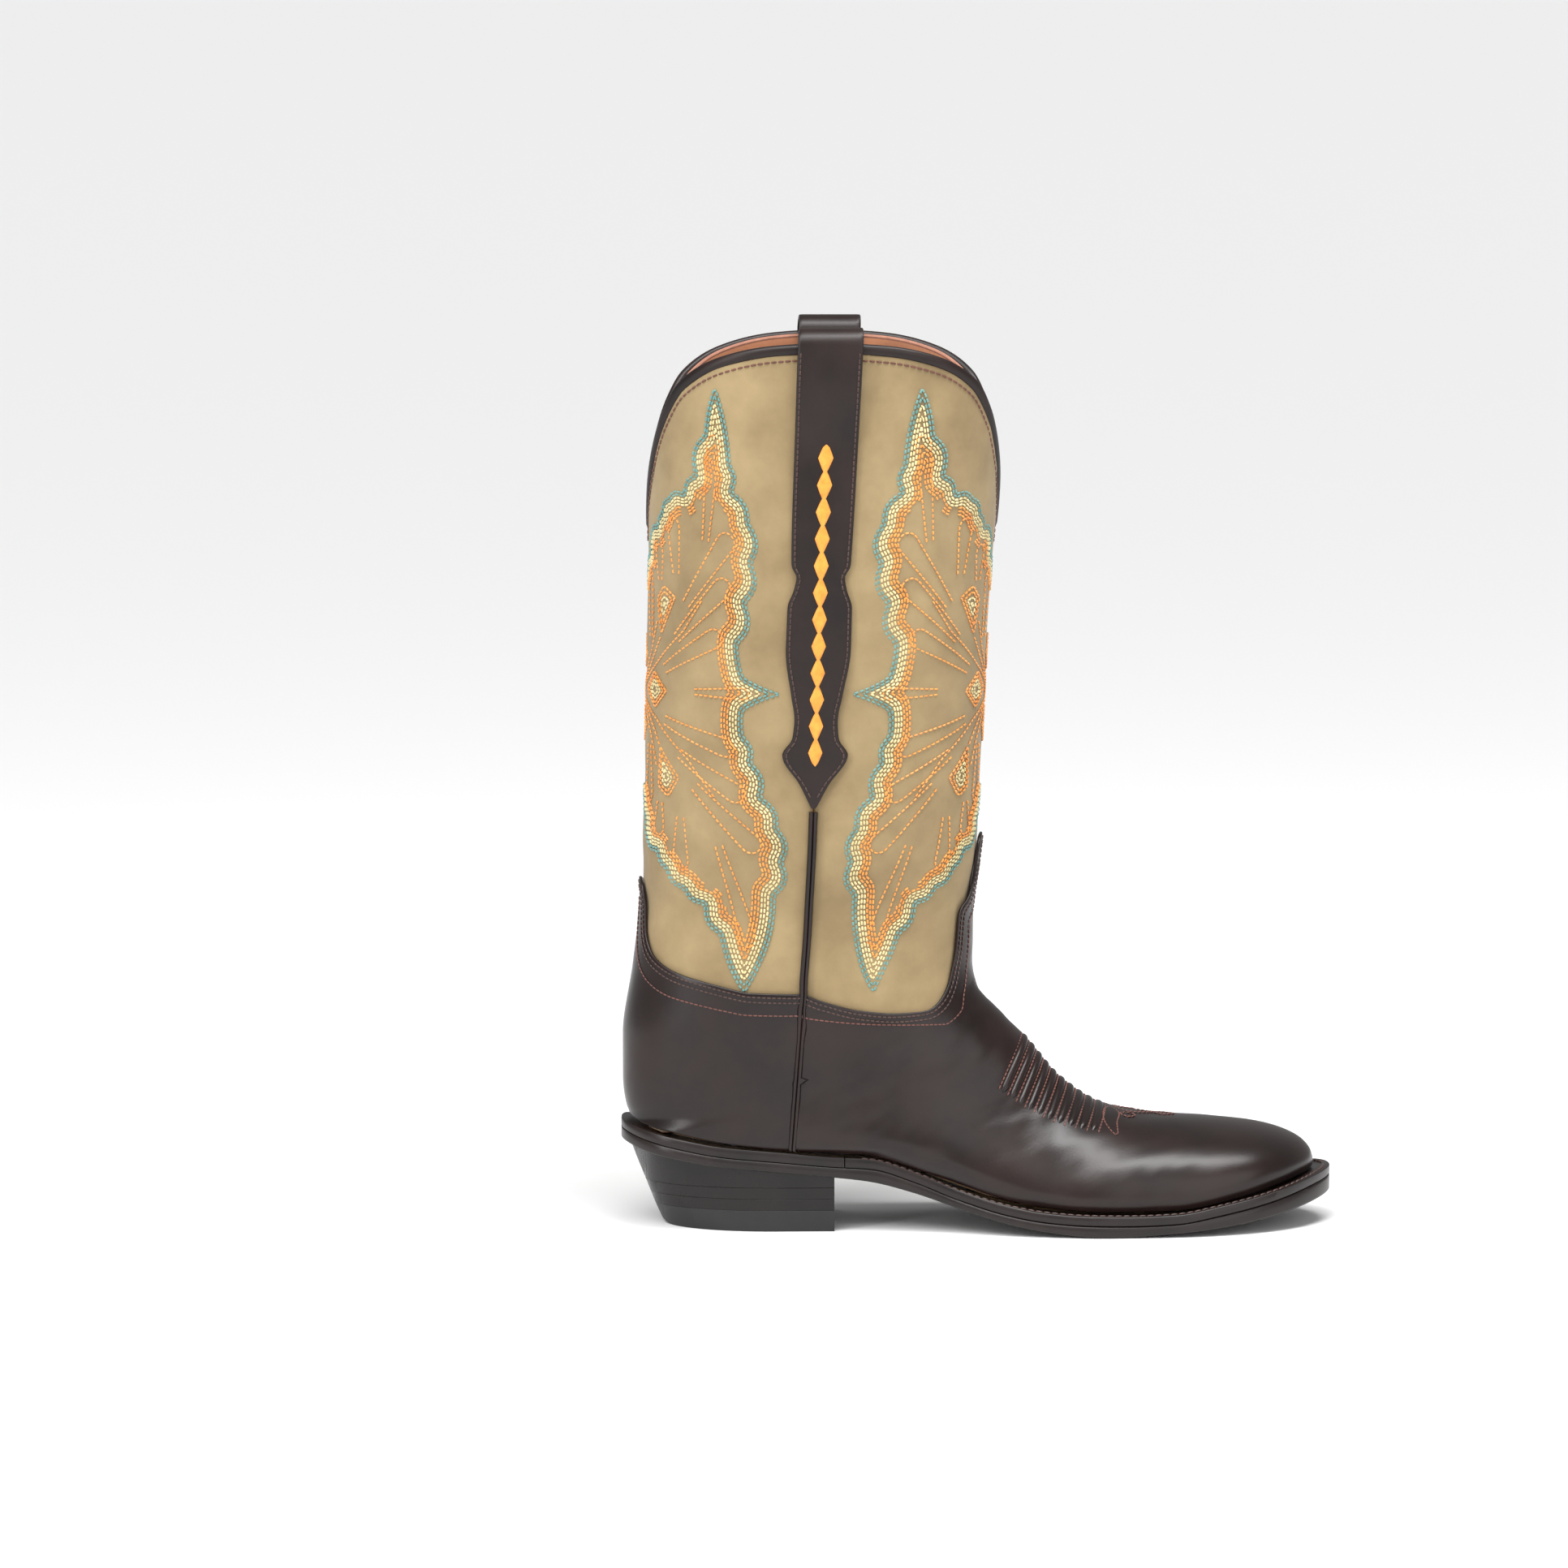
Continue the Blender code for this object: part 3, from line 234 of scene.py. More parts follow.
def place(arc, z, back=False):
    """(t, s) of the point at an arc length from the front (or back) centre line, at height z."""
    s = 0.0
    for _ in range(30):
        at = 1 - s if back else s
        t = station_at(at, z)
        line = 1 - np.linspace(0, s, 40) if back else np.linspace(0, s, 40)
        points = girth_point(np.full(40, t), line)
        length = np.linalg.norm(np.diff(points, axis=0), axis=1).sum()
        half_girth = 190.0
        s = float(np.clip(s + (arc - length) / half_girth, 0, 0.99))
        if abs(arc - length) < 0.02:
            break
    at = 1 - s if back else s
    return station_at(at, z), at


def rim_height(s):
    """Height of the leg's edge at girth position s."""
    degrees = 180 * np.abs(s)
    return table(RIM, np.minimum(degrees, 180 - degrees))


def seam_girth_at(t):
    """Girth position of the side seam at a station, from the seam's straight line as seen from the side."""

    def behind(s):
        x, _, z = girth_point(t, s)
        top_x, top_z = SEAM_JOIN
        return top_x + (SEAM_FOOT - top_x) * (top_z - z) / (top_z - SEAM_FOOT_HEIGHT) - x

    return solve(behind, 0.3, 1.0, 40)


@functools.lru_cache
def seam_join():
    """(t, s) where the side seam meets the vamp and the counter."""
    t = solve(lambda g: SEAM_JOIN[1] - girth_point(g, seam_girth_at(g))[2], 3.0, HEEL_CORNER, 40)
    return t, seam_girth_at(t)


@functools.lru_cache
def seam_foot():
    """Station at which the side seam meets the feather line."""
    return solve(lambda t: girth_point(t, 1.0)[0] - SEAM_FOOT, HEEL_CORNER, LAST)


def seam_line(v):
    """(t, s) down the lower side seam, v from 0 at the vamp's top edge to 1 at the feather line."""
    top = seam_join()[0]
    t = top + (seam_foot() - top) * v
    return t, 1.0 if v == 1 else seam_girth_at(t)


def seam_girth(t):
    """Girth position of the side seam on the leg."""
    t0, s0 = seam_join()
    return SEAM_TOP + (s0 - SEAM_TOP) * ramp(t, 1.0, t0)


def grid_faces(rows, columns, closed=False):
    """Quads of a grid of rows x columns vertices; closed joins the last column to the first."""
    last = columns if closed else columns - 1
    faces = []
    for r in range(rows - 1):
        for c in range(last):
            n = (c + 1) % columns
            faces.append((r * columns + c, (r + 1) * columns + c, (r + 1) * columns + n, r * columns + n))
    return faces


def lengths(points):
    """Distance along a line of points, from its start to each of them."""
    return np.concatenate([[0], np.cumsum(np.linalg.norm(np.diff(points, axis=0), axis=1))])


def resample(path, count):
    """The same path of (t, s) values with evenly spaced points, as measured on the surface."""
    path = np.asarray(path, float)
    where = girth_point(path[:, 0], path[:, 1])
    length = lengths(where)
    at = np.linspace(0, length[-1], count)
    return np.stack([np.interp(at, length, path[:, i]) for i in (0, 1)], axis=1)


def shifted(path, distance):
    """The path of (t, s) points moved on the surface, to the right of its direction seen from outside."""
    path = np.asarray(path, float)
    e = 0.01
    points = girth_point(path[:, 0], path[:, 1])
    direction = np.gradient(points, axis=0)
    moved = path.copy()
    for i, (t, s) in enumerate(path):
        t_safe = min(max(t, e), LAST - e)
        s_safe = min(max(s, -1 + e), 1 - e)
        along = (girth_point(t_safe + e, s_safe) - girth_point(t_safe - e, s_safe)) / (2 * e)
        around = (girth_point(t_safe, s_safe + e) - girth_point(t_safe, s_safe - e)) / (2 * e)
        normal = np.cross(along, around)
        aside = np.cross(direction[i], normal)
        aside *= distance / np.linalg.norm(aside)
        change = np.linalg.lstsq(np.stack([along, around], axis=1), aside, rcond=None)[0]
        moved[i] += change
    moved[:, 1] = np.clip(moved[:, 1], -1, 1)
    return moved


def mirrored(path):
    """The same path on the other side of the boot."""
    return np.asarray(path) * (1, -1)


def between(start, end, count, crowding=1.0):
    """Grid of (t, s) values that runs straight from each point of one path to its partner on another.

    Crowding over 1 brings the rows closer together towards the end."""
    v = 1 - (1 - np.linspace(0, 1, count)[:, None, None]) ** crowding
    return np.asarray(start) * (1 - v) + np.asarray(end) * v


def edge_height(s, drop):
    """Height at girth position s of a line that runs a distance below the rim, measured across it."""
    e = 0.004
    length = 380.0 * e
    slope = (rim_height(s + e) - rim_height(s - e)) / length
    return rim_height(s) - drop * math.sqrt(1 + slope**2)


def rim_station(s, drop):
    return station_at(s, edge_height(max(abs(s), 0.006), drop))


def leg_girth(c, t, back):
    """Girth position of column c (-1 to 1, seam to seam) of the front or back of the leg."""
    seam = seam_girth(t)
    if back:
        return (1 if c >= 0 else -1) * (1 - abs(c) * (1 - seam))
    return c * seam


def lower_seam(distance, count):
    """(t, s) points down the side seam below the vamp's edge, moved to the front by a distance."""
    path = np.array([seam_line(v) for v in np.linspace(0, 1, count)])
    moved = shifted(path, distance)
    moved[-1, 1] = 1.0
    return moved


def strap_offset(z):
    """Distance of the strap's middle from the leg, on its outer leg: flat below, standing off at the top."""
    flat = LAYER_GAP + STRAP_THICKNESS / 2
    return flat + (STRAP_STAND_OFF + STRAP_THICKNESS / 2 - flat) * ramp(z, STRAP_LIES_BELOW, STRAP_TOP - 14)


def outline(ts, outward):
    """Half of the boot's plan at the feather line, moved outward: x and distance from the centre line."""
    ts = np.asarray(ts, float)
    e = 0.004
    x = girth_point(ts, 1.0)[:, 0]
    ahead = girth_point(np.minimum(ts + e, LAST), 1.0)
    behind = girth_point(np.maximum(ts - e, HEEL_CORNER), 1.0)
    y = girth_point(ts, 1.0)[:, 1] - swing(x)
    dx = ahead[:, 0] - behind[:, 0]
    dy = (ahead[:, 1] - swing(ahead[:, 0])) - (behind[:, 1] - swing(behind[:, 0]))
    length = np.hypot(dx, dy)
    distance = outward(x) if callable(outward) else outward
    return np.stack([x - distance * dy / length, y + distance * dx / length], axis=1)


def ledge(x):
    return table(LEDGE, x)


def station_at_x(x):
    """Station at which the feather line is at x."""
    return solve(lambda t: girth_point(t, 1.0)[0] - x, HEEL_CORNER, LAST)


def sole_stations(x_from, x_to, count):
    """Stations along the feather line, closer together where it turns at heel and toe."""
    end = 0.03
    start = HEEL_CORNER + end if x_from is None else station_at_x(x_from)
    finish = LAST - end if x_to is None else station_at_x(x_to)
    return np.linspace(start, finish, count)


def heel_half(x, z):
    """Half-width of the heel at a place along it and a height: straight sides, and a round back."""
    half = float(table(HEEL_HALF, z))
    back = float(table(HEEL_BACK, z))
    if x > HEEL_ROUND_FROM:
        return half * (1 - 0.03 * (x - HEEL_ROUND_FROM) / (BREAST_X - HEEL_ROUND_FROM))
    return half * math.sqrt(max(1 - ((HEEL_ROUND_FROM - x) / (HEEL_ROUND_FROM - back)) ** 2, 0.0004))


# ---- materials


COLOUR_EDGES = (0.32, 0.68)
ROUGH_SPREAD = 0.08
GRAIN_DEPTH = 0.12


def add_node(tree, kind, **values):
    """A shader node with its input values set."""
    made = tree.nodes.new(kind)
    for name, value in values.items():
        made.inputs[name.replace("_", " ")].default_value = value
    return made


def finish(name, dark, light, roughness, patch, grain, bump, sheen=0.0, coat=0.0, metallic=0.0, shine=0.5):
    """A finish with mottled colour, uneven roughness and a fine grain. Patch and grain are sizes in mm."""
    made = bpy.data.materials.new(name)
    made.use_nodes = True
    tree = made.node_tree
    shader = tree.nodes["Principled BSDF"]
    settings = {"Metallic": metallic, "Specular IOR Level": shine, "Sheen Weight": sheen,
                "Sheen Roughness": 0.45,
                "Coat Weight": coat, "Coat Roughness": 0.25}
    for key, value in settings.items():
        shader.inputs[key].default_value = value
    where = add_node(tree, "ShaderNodeTexCoord")
    blotch = add_node(tree, "ShaderNodeTexNoise", Scale=1 / (patch * MM), Detail=6.0, Roughness=0.6)
    pores = add_node(tree, "ShaderNodeTexNoise", Scale=1 / (grain * MM), Detail=3.0)
    rough = add_node(tree, "ShaderNodeMapRange", To_Min=roughness - ROUGH_SPREAD,
                     To_Max=roughness + ROUGH_SPREAD)
    relief = add_node(tree, "ShaderNodeBump", Strength=bump, Distance=grain * GRAIN_DEPTH * MM)
    colour = add_node(tree, "ShaderNodeValToRGB")
    for stop, position, tone in zip(colour.color_ramp.elements, COLOUR_EDGES, (dark, light)):
        stop.position = position
        stop.color = (*tone, 1.0)
    link = tree.links.new
    link(where.outputs["Object"], blotch.inputs["Vector"])
    link(where.outputs["Object"], pores.inputs["Vector"])
    link(blotch.outputs["Fac"], colour.inputs["Fac"])
    link(colour.outputs["Color"], shader.inputs["Base Color"])
    link(blotch.outputs["Fac"], rough.inputs["Value"])
    link(rough.outputs["Result"], shader.inputs["Roughness"])
    link(pores.outputs["Fac"], relief.inputs["Height"])
    link(relief.outputs["Normal"], shader.inputs["Normal"])
    return made


# Dark and light colour, roughness, patch size, grain size, bump, sheen, coat, metallic, shine
LOOKS = {
    "tan_nubuck": ((0.215, 0.150, 0.070), (0.315, 0.230, 0.115), 0.85, 26.0, 0.6, 0.35, 0.12),
    "dark_leather": ((0.006, 0.0028, 0.0025), (0.015, 0.0066, 0.0055), 0.31, 30.0, 0.8, 0.25, 0.0, 0.05,
                     0.0, 0.36),
    "strap_leather": ((0.007, 0.0036, 0.0032), (0.016, 0.0078, 0.0064), 0.38, 22.0, 0.8, 0.3, 0.0, 0.0,
                      0.0, 0.34),
    "cognac_lining": ((0.20, 0.068, 0.025), (0.32, 0.12, 0.047), 0.55, 18.0, 1.2, 0.5),
    "raw_edge": ((0.27, 0.115, 0.075), (0.38, 0.18, 0.12), 0.8, 3.0, 0.5, 0.5),
    "edge_ink": ((0.006, 0.0038, 0.0034), (0.014, 0.0085, 0.0075), 0.34, 16.0, 0.7, 0.25, 0.0, 0.0, 0.0,
                 0.38),
    "heel_stack": ((0.0035, 0.0025, 0.0025), (0.008, 0.0055, 0.005), 0.27, 20.0, 0.8, 0.15, 0.0, 0.0,
                   0.0, 0.36),
    "heel_rubber": ((0.004, 0.0037, 0.0037), (0.009, 0.0082, 0.0082), 0.42, 12.0, 0.6, 0.35),
    "insole_leather": ((0.36, 0.22, 0.12), (0.52, 0.35, 0.21), 0.8, 15.0, 0.8, 0.4),
    "steel": ((0.36, 0.37, 0.39), (0.50, 0.51, 0.53), 0.34, 10.0, 0.4, 0.15, 0.0, 0.0, 1.0),
    "cork": ((0.28, 0.16, 0.08), (0.52, 0.34, 0.19), 0.9, 2.5, 0.9, 0.8),
    "board": ((0.38, 0.30, 0.21), (0.50, 0.41, 0.30), 0.88, 8.0, 0.6, 0.4),
    "foam": ((0.52, 0.48, 0.40), (0.66, 0.62, 0.54), 0.92, 4.0, 0.7, 0.6),
    "peg_wood": ((0.50, 0.34, 0.17), (0.66, 0.49, 0.29), 0.7, 2.0, 0.4, 0.4),
    "teal_thread": ((0.085, 0.20, 0.185), (0.15, 0.32, 0.29), 0.5, 5.0, 0.25, 0.6, 0.2),
    "cream_thread": ((0.52, 0.43, 0.20), (0.72, 0.62, 0.34), 0.5, 5.0, 0.25, 0.6, 0.2),
    "orange_thread": ((0.58, 0.20, 0.035), (0.78, 0.33, 0.07), 0.5, 5.0, 0.25, 0.6, 0.2),
    "satin_thread": ((0.72, 0.225, 0.02), (0.86, 0.33, 0.04), 0.38, 3.0, 0.2, 0.6, 0.2),
    "brown_thread": ((0.085, 0.028, 0.02), (0.15, 0.05, 0.036), 0.5, 5.0, 0.25, 0.5, 0.1),
    "black_thread": ((0.035, 0.016, 0.012), (0.065, 0.03, 0.022), 0.5, 5.0, 0.25, 0.5, 0.1),
}
FINISHES = {name: finish(name, *values) for name, values in LOOKS.items()}


# ---- meshes


def keep(name, points, faces, look, nodes=(), sharp=40.0):
    """Puts a mesh in the scene as a piece of the boot that stands for CAD nodes."""
    mesh = bpy.data.meshes.new(name)
    mesh.from_pydata(np.asarray(points, float).reshape(-1, 3) * MM, [], faces)
    mesh.materials.append(FINISHES[look])
    mesh.shade_smooth()
    mesh.set_sharp_from_angle(angle=math.radians(sharp))
    made = bpy.data.objects.new(name, mesh)
    bpy.context.scene.collection.objects.link(made)
    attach(made, "root")
    if nodes:
        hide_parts(*nodes)
    return made


def closed_faces(rows, columns):
    """Faces of a closed solid through rings of vertices, with a cap at either end."""
    return [*grid_faces(rows, columns, closed=True), tuple(range(columns)),
            tuple(range((rows - 1) * columns, rows * columns))]


def turn_out(made):
    """Makes the faces of a closed mesh look outward."""
    body = bmesh.new()
    body.from_mesh(made.data)
    bmesh.ops.remove_doubles(body, verts=body.verts, dist=0.000002)
    bmesh.ops.recalc_face_normals(body, faces=body.faces)
    body.to_mesh(made.data)
    body.free()
    return made


def stations(s, z):
    """Stations at which girth positions are at given heights on the leg or the ankle, for whole arrays."""
    s, z = np.broadcast_arrays(np.asarray(s, float), np.asarray(z, float))
    lo, hi = np.zeros(s.shape), np.full(s.shape, HEEL_CORNER + 5.0)
    for _ in range(30):
        middle = (lo + hi) / 2
        higher = girth_point(middle, s)[..., 2] > z
        lo, hi = np.where(higher, middle, lo), np.where(higher, hi, middle)
    return (lo + hi) / 2


def waves(seed, count, size):
    """A smooth random function of points: a sum of waves about size mm long, from -1 to 1."""
    chance = np.random.default_rng(seed)
    turns = chance.normal(size=(count, 3)) * 2 * math.pi / size
    starts = chance.uniform(0, 2 * math.pi, count)
    return lambda points: np.sin(points @ turns.T + starts).sum(axis=-1) / math.sqrt(count) * 0.7


EDGE_PROFILE = ((0.12, 0.35), (0.3, 0.05), (0.7, 0.05), (0.88, 0.35))
EDGE_ROUNDING = 0.45


def border(rows, columns):
    """Row and column numbers of the outermost vertices of a grid, in order round it."""
    r, c = np.meshgrid(np.arange(rows), np.arange(columns), indexing="ij")
    sides = (np.s_[0, :-1], np.s_[:-1, -1], np.s_[-1, :0:-1], np.s_[:0:-1, 0])
    return np.concatenate([r[side] for side in sides]), np.concatenate([c[side] for side in sides])


def skin(name, grid, outside, thickness, look, nodes, relief):
    """A sheet of leather: the grid's (t, s) values thickened inward, with rounded edges all the way round."""
    rows, columns = grid.shape[:2]
    t, s = grid[..., 0], grid[..., 1]
    base = upper(t, s, 0.0)
    normal = upper(t, s, 1.0) - base
    lift = relief(base, t, s)
    out, back = (base + normal * (outside - depth + lift)[..., None] for depth in (0.0, thickness))
    tip = t > LAST - 0.01
    if tip.any():
        out[tip], back[tip] = out[tip].mean(axis=0), back[tip].mean(axis=0)
    r, c = border(rows, columns)
    inward = out[np.clip(r, 1, rows - 2), np.clip(c, 1, columns - 2)] - out[r, c]
    length = np.linalg.norm(inward, axis=1, keepdims=True)
    inward *= np.minimum(EDGE_ROUNDING, length * EDGE_ROUNDING) / np.where(length < 1e-6, 1, length)
    sides = [out[r, c] * (1 - k) + back[r, c] * k + inward * pull for k, pull in EDGE_PROFILE]
    index = r * columns + c
    front_flat, back_flat = out.reshape(-1, 3).copy(), back.reshape(-1, 3).copy()
    front_flat[index] += inward
    back_flat[index] += inward
    count, ring = rows * columns, len(r)
    back_start = count + len(sides) * ring
    faces = grid_faces(rows, columns)
    faces += [tuple(back_start + v for v in face[::-1]) for face in faces[:]]
    rings = [index] + [count + k * ring + np.arange(ring) for k in range(len(sides))] + [back_start + index]
    for one, two in zip(rings, rings[1:]):
        faces += [(one[k - 1], one[k], two[k], two[k - 1]) for k in range(ring)]
    points = np.concatenate([front_flat, *sides, back_flat])
    return turn_out(keep(name, points, faces, look, nodes, sharp=75.0))


def ring_solid(name, rings, look, nodes=(), sharp=40.0):
    """A closed solid through rings of points, capped at both ends."""
    return turn_out(keep(name, rings, closed_faces(*rings.shape[:2]), look, nodes, sharp))


def tube(name, line, across, up, radii, look, around=12):
    """A bar along a line of points with an oval section: radii along the directions across and up."""
    angles = np.linspace(0, 2 * math.pi, around, endpoint=False)[None, :, None]
    wide, high = (np.asarray(radii)[:, i].reshape(-1, 1, 1) for i in (0, 1))
    rings = line[:, None] + across[:, None] * np.cos(angles) * wide + up[:, None] * np.sin(angles) * high
    return ring_solid(name, rings, look)


def along(path, offset, step):
    """Points and normals at even steps along a path of (t, s) values, held off the leather."""
    path = np.asarray(path, float)
    where = girth_point(path[:, 0], path[:, 1])
    length = lengths(where)
    count = max(int(round(length[-1] / step)) + 1, 2)
    at = np.linspace(0, length[-1], count)
    t, s = (np.interp(at, length, path[:, i]) for i in (0, 1))
    points = upper(t, s, offset)
    return points, upper(t, s, offset + 1.0) - points


STITCH = ((0.0, 0.45, -0.32), (0.16, 0.9, 0.0), (0.5, 1.0, 0.06), (0.84, 0.9, 0.0), (1.0, 0.45, -0.32))


def add_stitches(name, runs, radius, look, gap=0.16, around=6):
    """Thread: one small capsule between each pair of neighbouring points of each run."""
    starts, ends, normals = [], [], []
    for points, normal in runs:
        if len(points) > 1:
            starts.append(points[:-1])
            ends.append(points[1:])
            normals.append((normal[:-1] + normal[1:]) / 2)
    a, b, n = (np.concatenate(v) for v in (starts, ends, normals))
    d = b - a
    a, b = a + d * gap / 2, b - d * gap / 2
    d = b - a
    n /= np.linalg.norm(n, axis=1, keepdims=True)
    side = np.cross(d, n)
    side /= np.maximum(np.linalg.norm(side, axis=1, keepdims=True), 1e-9)
    angles = np.linspace(0, 2 * math.pi, around, endpoint=False)
    rings = []
    for share, size, sink in STITCH:
        centre = a + d * share + n * sink * radius * 2
        rings.append(centre[:, None] + radius * size * (
            side[:, None] * np.cos(angles)[None, :, None] + n[:, None] * np.sin(angles)[None, :, None] * 0.8))
    points = np.stack(rings, axis=1).reshape(-1, 3)
    one = closed_faces(len(STITCH), around)
    one[-2] = one[-2][::-1]
    per = len(STITCH) * around
    faces = [tuple(v + k * per for v in face) for k in range(len(a)) for face in one]
    return keep(name, points, faces, look)


# ---- leg


def leg_relief(back):
    """Soft unevenness of a leg panel, with fine level creases low at the back."""
    soft = waves(3 + back, 7, 60.0)
    fine = waves(9 + back, 9, 22.0)

    def relief(points, t, s):
        low = 1 - ramp(points[..., 2], 110.0, 190.0)
        rear = ramp(np.abs(s), 0.55, 0.95)
        crease = np.sin(points[..., 2] / 3.4 + 1.6 * soft(points)) * low * rear * 0.22
        return 0.28 * soft(points) + 0.10 * fine(points) + crease
    return relief


RIM_GAP = 1.9
LINING_RIM_GAP = 1.6


def leg_grid(back, bottom_centre, bottom_seam, columns, rows, rim_gap=RIM_GAP):
    """Grid of (t, s) values over half of the leg, from under the rim down to the panel's foot."""
    cs = np.linspace(-SEAM_SHARE, SEAM_SHARE, columns)
    cs = np.where(np.abs(cs) < 1e-9, 1e-4, cs)
    s_top = np.array([leg_girth(c, 0.0, back) for c in cs])
    top = np.array([rim_station(abs(s), rim_gap) for s in s_top])
    low = bottom_centre + (bottom_seam - bottom_centre) * np.abs(cs)
    bottom = stations(np.array([leg_girth(c, 7.0, back) for c in cs]), low)
    v = np.linspace(0, 1, rows)[:, None]
    t = top + (bottom - top) * v
    seam = seam_girth(t)
    s = np.where(cs >= 0, 1, -1) * (1 - np.abs(cs) * (1 - seam)) if back else cs * seam
    return np.stack([t, s], axis=-1)


def add_leg():
    """The two leather panels and their linings, from seam to seam."""
    for name, back, centre in (("front", False, FRONT_PANEL_BOTTOM), ("back", True, COUNTER_UNDER)):
        panel = leg_grid(back, centre, LEG_SEAM_BOTTOM, 111, 131)
        skin(f"leg_{name}", panel, SHAFT_OUT, SHAFT_THICKNESS, "tan_nubuck",
             [f"shaft_{name}_panel"], leg_relief(back))
        creases = waves(20 + back, 8, 34.0)
        inner = leg_grid(back, centre, LEG_SEAM_BOTTOM, 81, 81, LINING_RIM_GAP)
        skin(f"leg_lining_{name}", inner, LINING_OUT, LINING_THICKNESS, "cognac_lining",
             [f"lining_{name}"], lambda points, t, s: 0.45 * creases(points) * ramp(t, 0.4, 1.6))


# Share of the half girth left open at each V
V_GAP = 0.0022


def rim_line(side, count):
    """Girth positions from the front V to the back V, closer together at the two points."""
    # Known fault: the clip makes the outermost stations coincide, so add_rim divides by zero at them, and the
    # ends of rim_binding and lining_edge have vertices that aren't numbers.
    u = (1 - np.cos(np.linspace(0, math.pi, count))) / 2
    return side * np.clip(u, V_GAP, 1 - V_GAP)


RIM_STITCH = 2.6
BINDING_HALF = (1.6, 2.1)
BINDING_MIDDLE = -0.75
BINDING_FACETS = 16
BINDING_DROP = 1.6
RAW_EDGE_DROP = 1.5
RAW_EDGE_RADIUS = 0.78
RIM_THREAD_RADIUS = 0.36


def add_rim(side, label):
    """The folded binding over both layers of the leg, and the row of stitches under it."""
    s = rim_line(side, 140)
    t = np.array([rim_station(abs(v), BINDING_DROP) for v in s])
    centre = upper(t, s, BINDING_MIDDLE)
    normal = upper(t, s, BINDING_MIDDLE + 1) - centre
    heading = np.gradient(centre, axis=0)
    up = np.cross(heading, normal)
    up /= np.linalg.norm(up, axis=1, keepdims=True)
    up *= np.sign(up[:, 2:])
    angles = np.linspace(0, 2 * math.pi, BINDING_FACETS, endpoint=False)
    wide, high = BINDING_HALF
    cosine, sine = np.cos(angles), np.sin(angles)
    flat = np.sign(cosine) * np.abs(cosine) ** 0.7
    points = centre[:, None] + normal[:, None] * (flat * wide)[None, :, None] + \
        up[:, None] * (sine * high)[None, :, None]
    ring_solid(f"rim_binding_{label}", points, "strap_leather", [f"top_piping_{label}"])
    raw_t = np.array([rim_station(abs(v), RAW_EDGE_DROP) for v in s])
    raw = upper(raw_t, s, LINING_OUT - LINING_THICKNESS / 2)
    tube(f"lining_edge_{label}", raw, normal, up, np.full((len(s), 2), RAW_EDGE_RADIUS), "raw_edge",
         around=8)
    rows = (("", 5.6, SHAFT_OUT + 0.2), ("_in", 5.4, LINING_OUT - LINING_THICKNESS - 0.1))
    for suffix, drop, offset in rows:
        path = np.array([(rim_station(abs(v), drop), v) for v in s])
        add_stitches(f"rim_stitches{suffix}_{label}", [along(path, offset, RIM_STITCH)], RIM_THREAD_RADIUS,
                     "brown_thread")


# ---- foot leathers


# How far vamp and counter stay from the middle of the side seam, under its strip
SEAM_UNDERLAP = 0.9
# Rows of stitches: distance from the edge, stitch length, thread radii, height of the thread's middle
EDGE_ROWS = (1.5, 3.4)
INNER_ROW = 8.8
FOOT_STITCH = 1.9
EDGE_THREAD, OGEE_THREAD = 0.3, 0.27
THREAD_LIFT = 0.16


def foot_relief(seed, amount):
    """Soft unevenness of the foot's leather, which is lasted smooth over the toes."""
    soft = waves(seed, 8, 46.0)
    fine = waves(seed + 1, 10, 15.0)

    def relief(points, t, s):
        calm = 1 - ramp(points[..., 0], 70.0, 105.0)
        return amount * (soft(points) + 0.3 * fine(points)) * calm * (1 - ramp(np.abs(s), 0.9, 1.0))
    return relief


def edge_path(points, count, back):
    """A smooth (t, s) path through points given as arc from the front or back centre line and height."""
    steps = np.arange(len(points))
    fine = np.linspace(0, len(points) - 1, count)
    arcs, heights = (table(tuple(zip(steps, column)), fine) for column in zip(*points))
    path = np.array([place(float(arc), float(z), back) for arc, z in zip(arcs, heights)])
    path[0, 1] = float(back)
    return path


def vamp_edge():
    """The vamp's upper edge from the tip of the tongue to the seam, and its edge down the seam."""
    seam = lower_seam(SEAM_UNDERLAP, 40)
    path = edge_path(TONGUE, 56, back=False)
    return path[path[:, 1] < seam[0, 1] - 0.012], seam


def add_foot():
    """Vamp and counter; returns their edges for the stitching."""
    top, seam = vamp_edge()
    skin("vamp_leather", vamp_grid(top, seam, 71, 130), COVER_OUT, COVER_THICKNESS, "dark_leather",
         ["vamp"], foot_relief(31, 0.34))
    back_top = edge_path(COUNTER, 40, back=True)
    seam_back = lower_seam(-SEAM_UNDERLAP, 40)
    skin("counter_leather", fine_heel(back_top, seam_back, 60, 60), COVER_OUT, COVER_THICKNESS,
         "dark_leather",
         ["counter_cover"], foot_relief(41, 0.12))
    return top, seam, back_top, seam_back


def vamp_grid(top_edge, seam, columns, rows):
    """Grid from the vamp's upper edge to the toe tip, with the side seam as its outermost column."""
    top = resample(np.concatenate([top_edge, seam[:1]]), columns)
    t_seam, s_seam = np.append(seam[:, 0], LAST), np.append(seam[:, 1], 1.0)
    share = top[:, 1] / np.interp(top[:, 0], t_seam, s_seam)
    share[-1] = 1.0
    v = np.linspace(0, 1, rows)[:, None]
    t = top[:, 0] + (LAST - top[:, 0]) * v
    w = share + (np.linspace(0, 1, columns) - share) * ramp(v, 0.0, 1.0)
    half = np.stack([t, w * np.interp(t, t_seam, s_seam)], axis=-1)
    return np.concatenate([mirrored(half[:, :0:-1]), half], axis=1)


